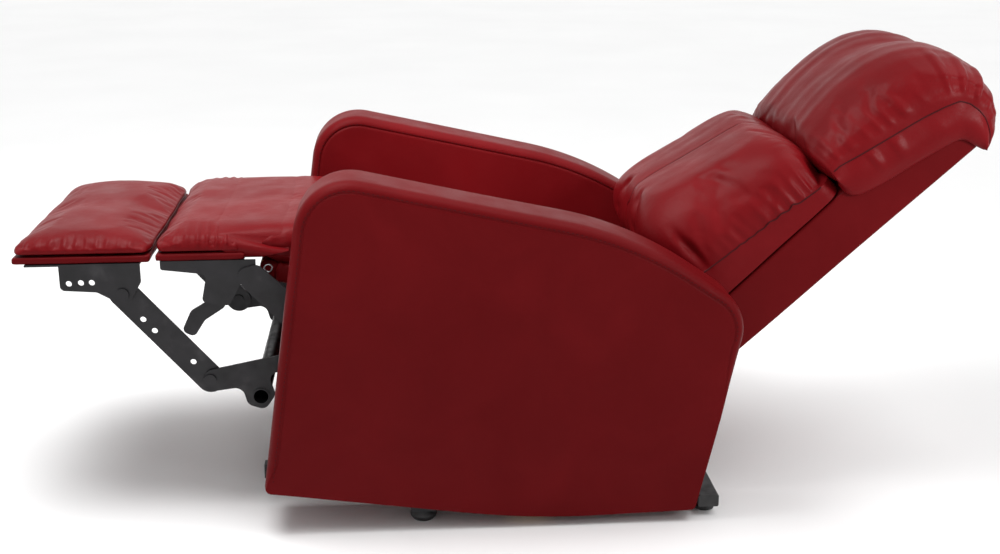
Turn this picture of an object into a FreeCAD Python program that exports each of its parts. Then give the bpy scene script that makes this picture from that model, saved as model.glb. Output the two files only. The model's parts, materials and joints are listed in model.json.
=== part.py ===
import FreeCAD, Part
import Sketcher
import math
import os
import re

# Lift chair with a reclining back and a folding leg and foot rest.
# X runs across the chair, +X is the sitter's left, -Y is the front, Z is up. All sizes in mm and degrees.

V = FreeCAD.Vector
TURN = FreeCAD.Rotation
ACROSS = V(1, 0, 0)
UPRIGHT = V(0, 0, 1)

SIZES = [
    ("body_lean", "8", "lean of the chair body at rest"),
    ("body_front", "-414", "lower front corner of the arms, along Y"),
    ("body_rise", "75", "lower front corner of the arms, above the floor"),
    ("seat_space", "460", "clear width between the arms"),
    ("arm_thick", "115", "thickness of one arm"),
    ("arm_wall", "15", "padding of the arm cover"),
    ("arm_round", "28", "rounding along the edge of the arm"),
    ("arm_flat", "435", "straight part of the arm's lower edge"),
    ("arm_heel_rise", "44", "lower rear corner of the arm, above its lower edge"),
    ("arm_length", "733", "upper rear corner of the arm, from its front"),
    ("arm_rake", "29", "lower rear corner of the arm before the upper one"),
    ("arm_heel", "=arm_length - arm_rake", "lower rear corner of the arm, from its front"),
    ("arm_slope", "201", "length of the slope behind the arm's shoulder"),
    ("arm_shoulder", "=arm_length - arm_slope", "where the arm top turns down, from its front"),
    ("arm_rear_rise", "392", "upper rear corner of the arm, above its lower edge"),
    ("arm_shoulder_rise", "490", "where the arm top turns down, above its lower edge"),
    ("arm_height", "530", "height of the arm at its front"),
    ("arm_lean", "4", "upper front corner of the arm behind the lower one"),
    ("arm_nose", "88", "rounding of the arm's upper front corner"),
    ("arm_turn", "600", "rounding of the arm's shoulder"),
    ("arm_corner", "75", "rounding of the arm's upper rear corner"),
    ("arm_sweep", "1500", "rounding of the arm's lower edge"),
    ("frame_width", "50", "width of the timber arm frame members"),
    ("plate_thick", "4", "thickness of the stamped steel plates"),
    ("plate_gap", "0.6", "gap between steel plates side by side"),
    ("pin_radius", "6", "radius of the pivot pins"),
    ("pin_clear", "0.05", "radial clearance of a turning pin"),
    ("head_radius", "10", "radius of pin and rivet heads"),
    ("head_thick", "3", "thickness of pin and rivet heads"),
    ("drive_pivot_y", "56.3", "drive pivot from the arm's lower front corner, rearward"),
    ("drive_pivot_z", "202.8", "drive pivot from the arm's lower front corner, upward"),
    ("leg_pivot_y", "-64.2", "leg rest pivot, rearward"),
    ("leg_pivot_z", "327.3", "leg rest pivot, upward"),
    ("back_pivot_y", "610", "back pivot, rearward"),
    ("back_pivot_z", "200", "back pivot, upward"),
    ("back_recline", "38.5", "recline of the back from the body's upright"),
    ("rest_pitch", "8", "pitch of the leg and foot rest against the body"),
    ("lower_reach", "172", "lower link, pivot to pivot along the rest"),
    ("lower_drop", "40", "lower link, pivot to pivot downward"),
    ("long_reach", "130", "long link, pivot to pivot along the rest"),
    ("long_rise", "150", "long link, pivot to pivot upward"),
    ("long_width", "46", "width of the long link"),
    ("stud_along", "75", "support stud from the long link's lower pivot"),
    ("tube_reach", "91", "drive tube from the drive pivot, forward"),
    ("tube_drop", "71", "drive tube from the drive pivot, downward"),
    ("tube_radius", "14", "radius of the drive tube"),
    ("tube_wall", "2", "wall of the round and square tubes"),
    ("rest_width", "450", "width of the leg and foot rest boards"),
    ("board_thick", "12", "thickness of the rest boards"),
    ("foot_front", "-170", "front edge of the foot board from its pivot"),
    ("foot_rear", "47", "rear edge of the foot board from its pivot"),
    ("foot_rise", "51", "underside of the foot board above its pivot"),
    ("foot_side", "13", "height of the foot cushion's seam"),
    ("foot_crown", "34", "height of the foot cushion's crown"),
    ("leg_front", "-146", "front edge of the leg board from its pivot"),
    ("leg_rear", "-3", "rear edge of the leg board from its pivot"),
    ("leg_rise", "23", "underside of the leg board above its pivot"),
    ("leg_side", "14", "height of the leg cushion's seam"),
    ("leg_crown", "36", "height of the leg cushion's crown"),
    ("flange_width", "34", "width of the bracket flanges under the boards"),
    ("flange_thick", "3", "thickness of the bracket flanges"),
    ("seat_start_y", "-45", "front of the seat frame, rearward"),
    ("seat_start_z", "345", "top of the seat frame at its front, upward"),
    ("seat_slope", "4.6", "fall of the seat to the rear"),
    ("seat_depth", "545", "length of the seat frame"),
    ("seat_rail", "25", "thickness of the seat's cross rails"),
    ("side_rail_out", "200", "outer face of the seat's side rails"),
    ("side_rail_wide", "20", "thickness of the seat's side rails"),
    ("side_rail_tall", "30", "height of the seat's side rails"),
    ("front_rail_tall", "55", "height of the seat's front rail"),
    ("web_wide", "48", "width of one webbing strap"),
    ("web_thick", "2", "thickness of the webbing"),
    ("web_pitch", "84", "spacing of the webbing straps"),
    ("cushion_front", "-14", "front of the seat cushion from the seat frame's front"),
    ("cushion_rear", "594", "rear of the seat cushion from the seat frame's front"),
    ("cushion_side", "42", "height of the seat cushion's seam"),
    ("cushion_crown", "74", "height of the seat cushion's crown"),
    ("soft_gap", "0.5", "gap beside a cushion"),
    ("shell_front", "25", "front face of the back shell before its pivot"),
    ("shell_rear", "62", "rear face of the back shell behind its pivot"),
    ("shell_taper", "18", "how much deeper the back shell is at its top"),
    ("shell_low", "25", "lower end of the back shell above its pivot"),
    ("shell_high", "693", "upper end of the back shell above its pivot"),
    ("shell_wall", "8", "padding of the back shell"),
    ("shell_round", "16", "rounding of the back shell's edges"),
    ("flap_inset", "20", "ends of the back flap from the sides of the shell"),
    ("pillow_low", "142", "lower end of the back cushion above the back pivot"),
    ("pillow_high", "452", "upper end of the back cushion above the back pivot"),
    ("pillow_side", "66", "height of the back cushion's seam"),
    ("pillow_crown", "205", "height of the back cushion's crown"),
    ("pillow_half", "221", "half width of the back and head cushions"),
    ("head_low", "464", "lower end of the head cushion above the back pivot"),
    ("head_over", "59", "head cushion beyond the upper end of the back shell"),
    ("head_high", "=shell_high + head_over", "upper end of the head cushion above the back pivot"),
    ("head_crown", "148", "height of the head cushion's crown"),
    ("head_side", "60", "height of the head cushion's seam"),
    ("rail_size", "25", "side of the square steel tubes"),
    ("base_half", "156", "inner face of the base rails from the middle"),
    ("base_front", "-427", "front end of the base rails"),
    ("base_low", "28", "underside of the base rails"),
    ("strap_wide", "40", "width of the base straps"),
    ("strap_thick", "8", "thickness of the base straps"),
    ("strap_half", "312", "half length of the front strap"),
    ("strap_place", "-158", "front strap along Y"),
    ("toe_place", "-404", "toe strap along Y"),
    ("glide_spread", "290", "front glides from the middle"),
    ("glide_radius", "23", "radius of the dome glides"),
    ("rear_deep", "34", "depth of the rear tube"),
    ("rear_gap", "7.7", "rear tube behind the arm's heel"),
    ("heel_reach", "=arm_heel * cos(body_lean) + arm_heel_rise * sin(body_lean)", "arm's heel along Y"),
    ("rear_place", "=body_front + heel_reach + rear_gap + rear_deep / 2", "rear tube along Y"),
    ("rear_tall", "21", "height of the rear tube"),
    ("rear_low", "16", "underside of the rear tube, height of the rear feet"),
    ("rear_half", "318", "half length of the rear tube"),
    ("cap_thick", "4", "thickness of the tube caps"),
    ("foot_spread", "288", "rear feet from the middle"),
    ("foot_disc", "17", "radius of the rear feet"),
    ("lift_pivot_y", "-342", "lift arm pivot along Y"),
    ("lift_pivot_z", "52", "lift arm pivot above the floor"),
    ("link_pivot_y", "-393.6", "lift link pivot along Y"),
    ("link_pivot_z", "58", "lift link pivot above the floor"),
    ("carry_rear_y", "489.3", "rear carriage pivot, rearward"),
    ("carry_rear_z", "53.6", "rear carriage pivot, upward"),
    ("carry_front_y", "155.6", "front carriage pivot, rearward"),
    ("carry_front_z", "57.2", "front carriage pivot, upward"),
    ("carry_thick", "6", "thickness of the carriage plates and lift arms"),
    ("lift_width", "36", "width of the lift arms"),
    ("link_width", "28", "width of the lift links"),
    ("shaft_radius", "8", "radius of the lift shafts"),
    ("slack_radius", "9.5", "hole of the loose lift link pivot"),
    ("cross_front_y", "225", "front cross rail, rearward"),
    ("cross_front_z", "130", "front cross rail, upward"),
    ("cross_rear_y", "477", "rear cross rail, rearward"),
    ("cross_rear_z", "140", "rear cross rail, upward"),
    ("crank_radius", "62", "crank, pivot to pivot"),
    ("crank_angle", "102", "crank direction at rest"),
    ("crank_thick", "12", "thickness of the crank"),
    ("crank_slack", "10", "hole of the crank for the loose rod pin"),
    ("motor_back", "53", "actuator pivot before the rear tube"),
    ("motor_pivot_y", "=rear_place - motor_back", "actuator pivot along Y"),
    ("motor_pivot_z", "100", "actuator pivot above the floor"),
    ("box_start", "20", "gearbox from the actuator pivot"),
    ("box_end", "85", "front of the gearbox from the actuator pivot"),
    ("box_half", "27", "half height of the gearbox"),
    ("motor_length", "130", "length of the motor"),
    ("motor_radius", "24", "radius of the motor"),
    ("motor_offset", "52", "motor beside the rod"),
    ("barrel_end", "400", "end of the actuator's outer tube"),
    ("barrel_radius", "20", "radius of the actuator's outer tube"),
    ("rod_radius", "15", "radius of the bore for the rod"),
    ("rod_start", "120", "inner end of the rod from the actuator pivot"),
    ("fork_depth", "48", "depth of the rod's fork behind its pin"),
    ("fork_inner", "8", "inner face of the rod's fork from the middle"),
    ("fork_outer", "14", "outer face of the rod's fork from the middle"),
]

doc = FreeCAD.newDocument("lift_chair")
sizes = doc.addObject("Spreadsheet::Sheet", "Sizes")
for line, (alias, number, meaning) in enumerate(SIZES, start=1):
    sizes.set("A%d" % line, meaning)
    sizes.set("B%d" % line, number)
    sizes.setAlias("B%d" % line, alias)
doc.recompute()

nodes = {}


def bound(text):
    """Write an expression with the sheet's name before each size."""
    return re.sub(r"\b([a-z]+_[a-z_]+)\b", r"Sizes.\1", text)


def size(text):
    """Number that an expression of sizes has now."""
    return float(sizes.evalExpression(text))


def node(label, thing):
    """Keep a document object as a sub-part of this name."""
    thing.Label = label
    nodes[label] = thing
    return thing


def sketch_on(body, role):
    plane = [item for item in body.Origin.OriginFeatures if item.Role == role][0]
    sketch = body.newObject("Sketcher::SketchObject", body.Name + "_sketch")
    sketch.AttachmentSupport = (plane, [""])
    sketch.MapMode = "FlatFace"
    return sketch


def pin_point(rules, texts, geometry, corner):
    """Hold a sketch point at two expressions from the sketch's origin."""
    for kind, text in (("DistanceX", corner[0]), ("DistanceY", corner[1])):
        rules.append(Sketcher.Constraint(kind, -1, 1, geometry, 1, size(text)))
        texts.append(text)


def draw_outline(sketch, corners):
    """Closed outline through corners (across, up, rounding), each held by expressions."""
    points = [V(size(c[0]), size(c[1]), 0) for c in corners]
    radii = [size(c[2]) if len(c) > 2 else 0.0 for c in corners]
    count = len(points)
    entries = []
    leaves = []
    arcs = []
    for i in range(count):
        here = points[i]
        back = (points[i - 1] - here).normalize()
        ahead = (points[(i + 1) % count] - here).normalize()
        if radii[i] == 0.0:
            entries.append(here)
            leaves.append(here)
            arcs.append(None)
            continue
        half = back.getAngle(ahead) / 2
        reach = radii[i] / math.tan(half)
        entries.append(here + back * reach)
        leaves.append(here + ahead * reach)
        middle = here + (back + ahead).normalize() * (radii[i] / math.sin(half))
        left_turn = (ahead.x * back.y - ahead.y * back.x) > 0
        first, last = (entries[i], leaves[i]) if left_turn else (leaves[i], entries[i])
        from_angle = math.atan2(first.y - middle.y, first.x - middle.x)
        to_angle = math.atan2(last.y - middle.y, last.x - middle.x)
        circle = Part.Circle(middle, UPRIGHT, radii[i])
        arc = sketch.addGeometry(Part.ArcOfCircle(circle, from_angle, to_angle), False)
        arcs.append((arc, 1 if left_turn else 2))
    lines = []
    for i in range(count):
        segment = Part.LineSegment(leaves[i], entries[(i + 1) % count])
        lines.append(sketch.addGeometry(segment, False))
    rules = []
    texts = []
    for i in range(count):
        if arcs[i] is None:
            rules.append(Sketcher.Constraint("Coincident", lines[i - 1], 2, lines[i], 1))
            texts.append(None)
            pin_point(rules, texts, lines[i], corners[i])
            continue
        arc, entry = arcs[i]
        sharp = sketch.addGeometry(Part.Point(points[i]), True)
        rules.append(Sketcher.Constraint("Tangent", lines[i - 1], 2, arc, entry))
        rules.append(Sketcher.Constraint("Tangent", arc, 3 - entry, lines[i], 1))
        rules.append(Sketcher.Constraint("PointOnObject", sharp, 1, lines[i - 1]))
        rules.append(Sketcher.Constraint("PointOnObject", sharp, 1, lines[i]))
        texts.extend([None] * 4)
        rules.append(Sketcher.Constraint("Radius", arc, radii[i]))
        texts.append(corners[i][2])
        pin_point(rules, texts, sharp, corners[i])
    bind_rules(sketch, rules, texts)


def draw_hole(sketch, hole):
    """Round hole (across, up, radius)."""
    centre = V(size(hole[0]), size(hole[1]), 0)
    ring = sketch.addGeometry(Part.Circle(centre, UPRIGHT, size(hole[2])), False)
    rules = [Sketcher.Constraint("Radius", ring, size(hole[2]))]
    texts = [hole[2]]
    for kind, text in (("DistanceX", hole[0]), ("DistanceY", hole[1])):
        rules.append(Sketcher.Constraint(kind, -1, 1, ring, 3, size(text)))
        texts.append(text)
    bind_rules(sketch, rules, texts)


def bind_rules(sketch, rules, texts):
    places = sketch.addConstraint(rules)
    for place, text in zip(places, texts):
        if text is not None:
            sketch.setExpression("Constraints[%d]" % place, bound(text))


def pad_of(body, sketch, length, opposite=False):
    pad = body.newObject("PartDesign::Pad", body.Name + "_pad")
    pad.Profile = sketch
    pad.setExpression("Length", bound(length))
    pad.Reversed = opposite
    sketch.Visibility = False
    doc.recompute()
    body.Tip = pad
    return pad


def profile(name, corners, holes, length, place, windows=()):
    """Profile across the chair: an outline in Y and Z with holes, carried along X."""
    body = doc.addObject("PartDesign::Body", name)
    sketch = sketch_on(body, "YZ_Plane")
    if corners:
        draw_outline(sketch, corners)
    for window in windows:
        draw_outline(sketch, window)
    for hole in holes:
        draw_hole(sketch, hole)
    pad_of(body, sketch, length)
    body.Placement = place
    return body


def extra_pad(body, corners, holes, length, opposite=False):
    """Second outline on the same plane of a body, carried along X or back."""
    sketch = sketch_on(body, "YZ_Plane")
    if corners:
        draw_outline(sketch, corners)
    for hole in holes:
        draw_hole(sketch, hole)
    pad_of(body, sketch, length, opposite)


def slot_corners(length, width):
    """Bar with round ends from its first pivot to its second."""
    half = "(%s) / 2" % width
    tight = "(%s) / 2 - 0.02" % width
    low = "-" + half
    far = "(%s) + %s" % (length, half)
    return [(low, low, tight), (far, low, tight), (far, half, tight), (low, half, tight)]


def box_corners(y_low, y_high, z_low, z_high, rounding=None):
    square = [(y_low, z_low), (y_high, z_low), (y_high, z_high), (y_low, z_high)]
    if rounding is None:
        return square
    return [corner + (rounding,) for corner in square]


def moved(frame, across=0.0, along=0.0, up=0.0, turn=0.0):
    step = FreeCAD.Placement(V(across, along, up), TURN(ACROSS, turn))
    return frame.multiply(step)


def beside(frame, near, thick, side):
    """Place a plate whose inner face is this far from the middle, on one side."""
    return moved(frame, near if side > 0 else -near - thick)


def cylinder(name, radius, length, place):
    """Round bar along X from its place."""
    bar = doc.addObject("Part::Cylinder", name)
    bar.setExpression("Radius", bound(radius))
    bar.setExpression("Height", bound(length))
    bar.Placement = place.multiply(FreeCAD.Placement(V(0, 0, 0), TURN(V(0, 1, 0), 90)))
    return bar


def joined(name, pieces):
    whole = doc.addObject("Part::MultiFuse", name)
    whole.Shapes = pieces
    return whole


def group(label, pieces):
    whole = doc.addObject("Part::Compound", label)
    whole.Links = pieces
    return node(label, whole)


def less(label, base, tool):
    rest = doc.addObject("Part::Cut", label)
    rest.Base = base
    rest.Tool = tool
    return node(label, rest)


SIDES = ((1, "left"), (-1, "right"))
ROW = FreeCAD.Placement()
BODY = FreeCAD.Placement(V(0, size("body_front"), size("body_rise")), TURN(ACROSS, -size("body_lean")))
REST = moved(BODY, 0, size("drive_pivot_y"), size("drive_pivot_z"), size("rest_pitch"))
LOWER_END = moved(REST, 0, -size("lower_reach"), -size("lower_drop"))
LONG_TURN = math.degrees(math.atan2(size("long_rise"), -size("long_reach")))
LONG = moved(LOWER_END, 0, 0, 0, LONG_TURN)
FOOT = moved(LOWER_END, 0, -size("long_reach"), size("long_rise"))
LEG = moved(BODY, 0, size("leg_pivot_y"), size("leg_pivot_z"), size("rest_pitch"))
BACK = moved(BODY, 0, size("back_pivot_y"), size("back_pivot_z"), -size("back_recline"))
SEAT = moved(BODY, 0, size("seat_start_y"), size("seat_start_z"), -size("seat_slope"))

ARM_IN = "seat_space / 2"
STEP = size("plate_thick + plate_gap")
PLATE_X = size("seat_space / 2 - plate_thick")
SECOND_X = PLATE_X - STEP
THIRD_X = SECOND_X - STEP
FOURTH_X = THIRD_X - STEP
PLATE = size("plate_thick")

# Base frame on the floor.

RAIL_END = "rear_place - rear_deep / 2"
ALONG_Y = FreeCAD.Rotation(UPRIGHT, 90)


def square_tube(label, wide, tall, length, place):
    half_w = "(%s) / 2" % wide
    half_t = "(%s) / 2" % tall
    outer = box_corners("-" + half_w, half_w, "-" + half_t, half_t, "tube_wall + 1")
    inner = box_corners(
        "tube_wall - " + half_w, half_w + " - tube_wall",
        "tube_wall - " + half_t, half_t + " - tube_wall", "1",
    )
    return node(label, profile(label, outer, [], length, place, [inner]))


for side, word in SIDES:
    centre = side * size("base_half + rail_size / 2")
    start = V(centre, size("base_front"), size("base_low + rail_size / 2"))
    square_tube(
        "base_rail_" + word, "rail_size", "rail_size", "%s - base_front" % RAIL_END,
        FreeCAD.Placement(start, ALONG_Y),
    )


def strap(label, half, place):
    outline = box_corners("-strap_wide / 2", "strap_wide / 2", "-strap_thick", "0", "2")
    spot = V(-size(half), size(place), size("base_low"))
    return node(label, profile(label, outline, [], "2 * (%s)" % half, FreeCAD.Placement(spot, TURN())))


strap("base_front_strap", "strap_half", "strap_place")
strap("base_toe_strap", "base_half + rail_size + 4", "toe_place")

rear_spot = V(-size("rear_half"), size("rear_place"), size("rear_low + rear_tall / 2"))
rear_start = FreeCAD.Placement(rear_spot, TURN())
square_tube("base_rear_tube", "rear_deep", "rear_tall", "2 * rear_half", rear_start)

caps = []
for side, word in SIDES:
    turn = TURN() if side > 0 else TURN(UPRIGHT, 180)
    spot = V(side * size("rear_half"), size("rear_place"), size("rear_low + rear_tall / 2"))
    outer = box_corners(
        "-rear_deep / 2", "rear_deep / 2", "-rear_tall / 2", "rear_tall / 2", "tube_wall + 1",
    )
    cap = profile("cap_" + word, outer, [], "cap_thick", FreeCAD.Placement(spot, turn))
    plug = box_corners(
        "tube_wall - rear_deep / 2", "rear_deep / 2 - tube_wall",
        "tube_wall - rear_tall / 2", "rear_tall / 2 - tube_wall", "1",
    )
    extra_pad(cap, plug, [], "4 * cap_thick", True)
    caps.append(cap)
group("rear_tube_caps", caps)


def turned(name, corners, place):
    """Round piece about Z from half an outline (radius, height, rounding)."""
    body = doc.addObject("PartDesign::Body", name)
    sketch = sketch_on(body, "XZ_Plane")
    draw_outline(sketch, corners)
    doc.recompute()
    spin = body.newObject("PartDesign::Revolution", name + "_spin")
    spin.Profile = sketch
    spin.ReferenceAxis = (sketch, ["V_Axis"])
    spin.Angle = 360
    sketch.Visibility = False
    doc.recompute()
    body.Tip = spin
    body.Placement = place
    return body


STRAP_LOW = "base_low - strap_thick"
DOME = [
    ("0", "0"), ("glide_radius - 6", "0", "3"), ("glide_radius", "8", "6"),
    ("glide_radius - 7", STRAP_LOW, "3"), ("0", STRAP_LOW),
]
glides = []
for side, word in SIDES:
    toe_x = side * size("base_half + rail_size / 2")
    spots = [V(side * size("glide_spread"), size("strap_place"), 0), V(toe_x, size("toe_place"), 0)]
    for number, spot in enumerate(spots):
        glides.append(turned("glide_%s_%d" % (word, number), DOME, FreeCAD.Placement(spot, TURN())))
group("dome_glides", glides)

DISC = [
    ("0", "0"), ("foot_disc", "0", "2"), ("foot_disc", "7", "2"),
    ("foot_disc / 2", "9", "1"), ("foot_disc / 2", "rear_low"), ("0", "rear_low"),
]
feet = []
for side, word in SIDES:
    spot = V(side * size("foot_spread"), size("rear_place"), 0)
    feet.append(turned("foot_" + word, DISC, FreeCAD.Placement(spot, TURN())))
group("rear_feet", feet)

# Lift arms and links between the base and the chair body.

BRACKET_X = size("base_half - carry_thick")
LINK_X = BRACKET_X - 2 - size("carry_thick - 1")
CARRY_X = LINK_X - 3 - size("carry_thick")
LIFT_X = CARRY_X - 3 - size("carry_thick")

bracket_outline = [
    ("link_pivot_y - 22", "base_low + 2", "6"), ("lift_pivot_y + 22", "base_low + 2", "6"),
    ("lift_pivot_y + 22", "lift_pivot_z + 20", "14"), ("link_pivot_y - 22", "link_pivot_z + 20", "14"),
]
TURNING_SHAFT = "shaft_radius + pin_clear"
bracket_holes = [
    ("lift_pivot_y", "lift_pivot_z", TURNING_SHAFT), ("link_pivot_y", "link_pivot_z", TURNING_SHAFT),
]
brackets = []
for side, word in SIDES:
    place = beside(ROW, BRACKET_X, size("carry_thick"), side)
    brackets.append(profile("bracket_" + word, bracket_outline, bracket_holes, "carry_thick", place))
group("lift_brackets", brackets)

lift_pivot = V(0, size("lift_pivot_y"), size("lift_pivot_z"))
link_pivot = V(0, size("link_pivot_y"), size("link_pivot_z"))
carry_rear = BODY.multVec(V(0, size("carry_rear_y"), size("carry_rear_z")))
carry_front = BODY.multVec(V(0, size("carry_front_y"), size("carry_front_z")))


def aimed(start, end):
    """Placement at one point whose Y axis aims at another."""
    reach = end - start
    return FreeCAD.Placement(start, TURN(ACROSS, math.degrees(math.atan2(reach.z, reach.y))))


ARM = aimed(lift_pivot, carry_rear)
LINK = aimed(link_pivot, carry_front)
arm_reach = "%.4f" % (carry_rear - lift_pivot).Length
link_reach = "%.4f" % (carry_front - link_pivot).Length
for side, word in SIDES:
    holes = [("0", "0", "shaft_radius"), (arm_reach, "0", TURNING_SHAFT)]
    holes += [("%s * %s" % (arm_reach, share), "0", "lift_width / 6") for share in ("0.3", "0.5", "0.7")]
    arm = profile(
        "lift_arm_" + word, slot_corners(arm_reach, "lift_width"), holes, "carry_thick",
        beside(ARM, LIFT_X, size("carry_thick"), side),
    )
    node("lift_arm_" + word, arm)
    place = beside(LINK, LINK_X, size("carry_thick - 1"), side)
    link = profile(
        "lift_link_" + word, slot_corners(link_reach, "link_width"), [("0", "0", "shaft_radius")],
        "carry_thick - 1", place,
    )
    reach = "3 + carry_thick" if side > 0 else "2 * carry_thick + 2"
    extra_pad(link, [], [(link_reach, "0", "pin_radius")], reach, side > 0)
    node("lift_link_" + word, link)

shaft_start = V(-size("base_half"), 0, 0)
for name, pivot in (("lift_shaft", lift_pivot), ("link_shaft", link_pivot)):
    start = FreeCAD.Placement(pivot + shaft_start, TURN())
    node(name, cylinder(name, "shaft_radius", "2 * base_half", start))

crank_turn = FreeCAD.Placement(lift_pivot, TURN(ACROSS, size("crank_angle")))
crank = profile(
    "lift_crank", slot_corners("crank_radius", "26"),
    [("0", "0", "shaft_radius"), ("crank_radius", "0", "crank_slack")],
    "crank_thick", moved(crank_turn, -size("crank_thick") / 2),
)
node("lift_crank", crank)

# Actuator between the rear tube and the crank.

motor_pivot = V(0, size("motor_pivot_y"), size("motor_pivot_z"))
crank_end = crank_turn.multVec(V(0, size("crank_radius"), 0))
DRIVE = aimed(motor_pivot, crank_end)
rod_reach = "%.4f" % (crank_end - motor_pivot).Length
TOP = "rear_low + rear_tall"
cheek_outline = [
    ("rear_place - 15", TOP), ("rear_place + 15", TOP), ("rear_place + 15", TOP + " + 24", "10"),
    ("motor_pivot_y + 12", "motor_pivot_z + 15", "10"), ("motor_pivot_y - 13", "motor_pivot_z + 12", "9"),
    ("motor_pivot_y - 11", "motor_pivot_z - 13", "9"),
]
pieces = []
for side, word in SIDES:
    place = beside(ROW, size("fork_outer + 10"), size("plate_thick"), side)
    pieces.append(profile("cheek_" + word, cheek_outline, [], "plate_thick", place))
across = size("fork_outer + 10 + plate_thick")
base_outline = box_corners("rear_place - 15", "rear_place + 15", TOP, TOP + " + plate_thick")
pieces.append(
    profile("cheek_base", base_outline, [], "2 * (fork_outer + 10 + plate_thick)", moved(ROW, -across))
)
pieces.append(
    cylinder(
        "motor_pin", "pin_radius", "2 * (fork_outer + 10 + plate_thick)",
        FreeCAD.Placement(motor_pivot + V(-across, 0, 0), TURN()),
    )
)
node("actuator_bracket", joined("actuator_bracket", pieces))

gear_outline = box_corners("box_start", "box_end", "-box_half", "box_half", "10")
gear = profile("gearbox", gear_outline, [], "motor_offset + 2 * box_half", moved(DRIVE, -size("box_half")))
lug_outline = [
    ("-13", "-13", "12"), ("box_start + 4", "-13"), ("box_start + 4", "13"), ("-13", "13", "12"),
]
lug = profile(
    "gear_lug", lug_outline, [("0", "0", "pin_radius + pin_clear")], "2 * fork_outer",
    moved(DRIVE, -size("fork_outer")),
)


def round_along(name, radius, length, across, start):
    """Round bar along the actuator."""
    bar = doc.addObject("Part::Cylinder", name)
    bar.setExpression("Radius", bound(radius))
    bar.setExpression("Height", bound(length))
    bar.Placement = moved(DRIVE, across, start).multiply(FreeCAD.Placement(V(0, 0, 0), TURN(ACROSS, -90)))
    return bar


motor = round_along("motor", "motor_radius", "motor_length", size("motor_offset"), size("box_end"))
node("actuator_housing", joined("actuator_housing", [gear, lug, motor]))
barrel = round_along("barrel", "barrel_radius", "barrel_end - box_end", 0, size("box_end"))
bore = round_along("barrel_bore", "rod_radius", "barrel_end - box_end - 6", 0, size("box_end + 6"))
less("actuator_tube", barrel, bore)
stem_length = rod_reach + " - fork_depth - 4 - rod_start"
stem = round_along("stem", "rod_radius - pin_clear", stem_length, 0, size("rod_start"))
neck_outline = box_corners(rod_reach + " - fork_depth - 14", rod_reach + " - fork_depth", "-13", "13", "3")
neck = profile("rod_neck", neck_outline, [], "2 * fork_outer", moved(DRIVE, -size("fork_outer")))
pieces = [stem, neck]
for side, word in SIDES:
    tine_outline = [
        (rod_reach + " - fork_depth - 2", "-13"), (rod_reach + " + 13", "-13", "12"),
        (rod_reach + " + 13", "13", "12"), (rod_reach + " - fork_depth - 2", "13"),
    ]
    place = beside(DRIVE, size("fork_inner"), size("fork_outer - fork_inner"), side)
    pieces.append(profile("tine_" + word, tine_outline, [], "fork_outer - fork_inner", place))
pieces.append(
    cylinder("rod_pin", "pin_radius", "2 * fork_outer", moved(DRIVE, -size("fork_outer"), float(rod_reach)))
)
node("actuator_rod", joined("actuator_rod", pieces))

# Chair body: carriage, cross rails and mechanism plates.

carry_outline = [
    ("carry_front_y - 22", "carry_front_z - 20", "14"), ("carry_rear_y + 24", "carry_rear_z - 20", "14"),
    ("carry_rear_y + 24", "carry_rear_z + 26", "10"), ("cross_rear_y + rail_size", "carry_rear_z + 34", "6"),
    ("cross_rear_y + rail_size", "cross_rear_z"), ("cross_rear_y", "cross_rear_z"),
    ("cross_rear_y - 10", "carry_rear_z + 28", "8"),
    ("cross_front_y + rail_size + 8", "carry_front_z + 24", "8"),
    ("cross_front_y + rail_size", "cross_front_z"), ("cross_front_y", "cross_front_z"),
    ("cross_front_y - 8", "carry_front_z + 24", "8"), ("carry_front_y - 22", "carry_front_z + 22", "14"),
]
carry_holes = [
    ("carry_front_y", "carry_front_z", "slack_radius"), ("carry_rear_y", "carry_rear_z", "shaft_radius"),
]
pins = []
for side, word in SIDES:
    place = beside(BODY, CARRY_X, size("carry_thick"), side)
    node("carriage_" + word, profile("carriage_" + word, carry_outline, carry_holes, "carry_thick", place))
    reach = size("2 * carry_thick + 3 + 0.5")
    start = moved(BODY, 0, size("carry_rear_y"), size("carry_rear_z"))
    near = LIFT_X - 0.5
    place = beside(start, near, reach, side)
    shaft = cylinder("carry_pin_" + word, "shaft_radius", "2 * carry_thick + 3.5", place)
    head = cylinder("carry_head_" + word, "shaft_radius + 4", "head_thick", beside(start, near - 3, 3, side))
    pins.append(joined("carry_whole_" + word, [shaft, head]))
group("carriage_pins", pins)


def cross_rail(label, y_name, z_name):
    start = moved(
        BODY, -size(ARM_IN), size(y_name + " + rail_size / 2"), size(z_name + " + rail_size / 2")
    )
    return square_tube(label, "rail_size", "rail_size", "seat_space", start)


cross_rail("front_cross_rail", "cross_front_y", "cross_front_z")
cross_rail("rear_cross_rail", "cross_rear_y", "cross_rear_z")

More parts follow.
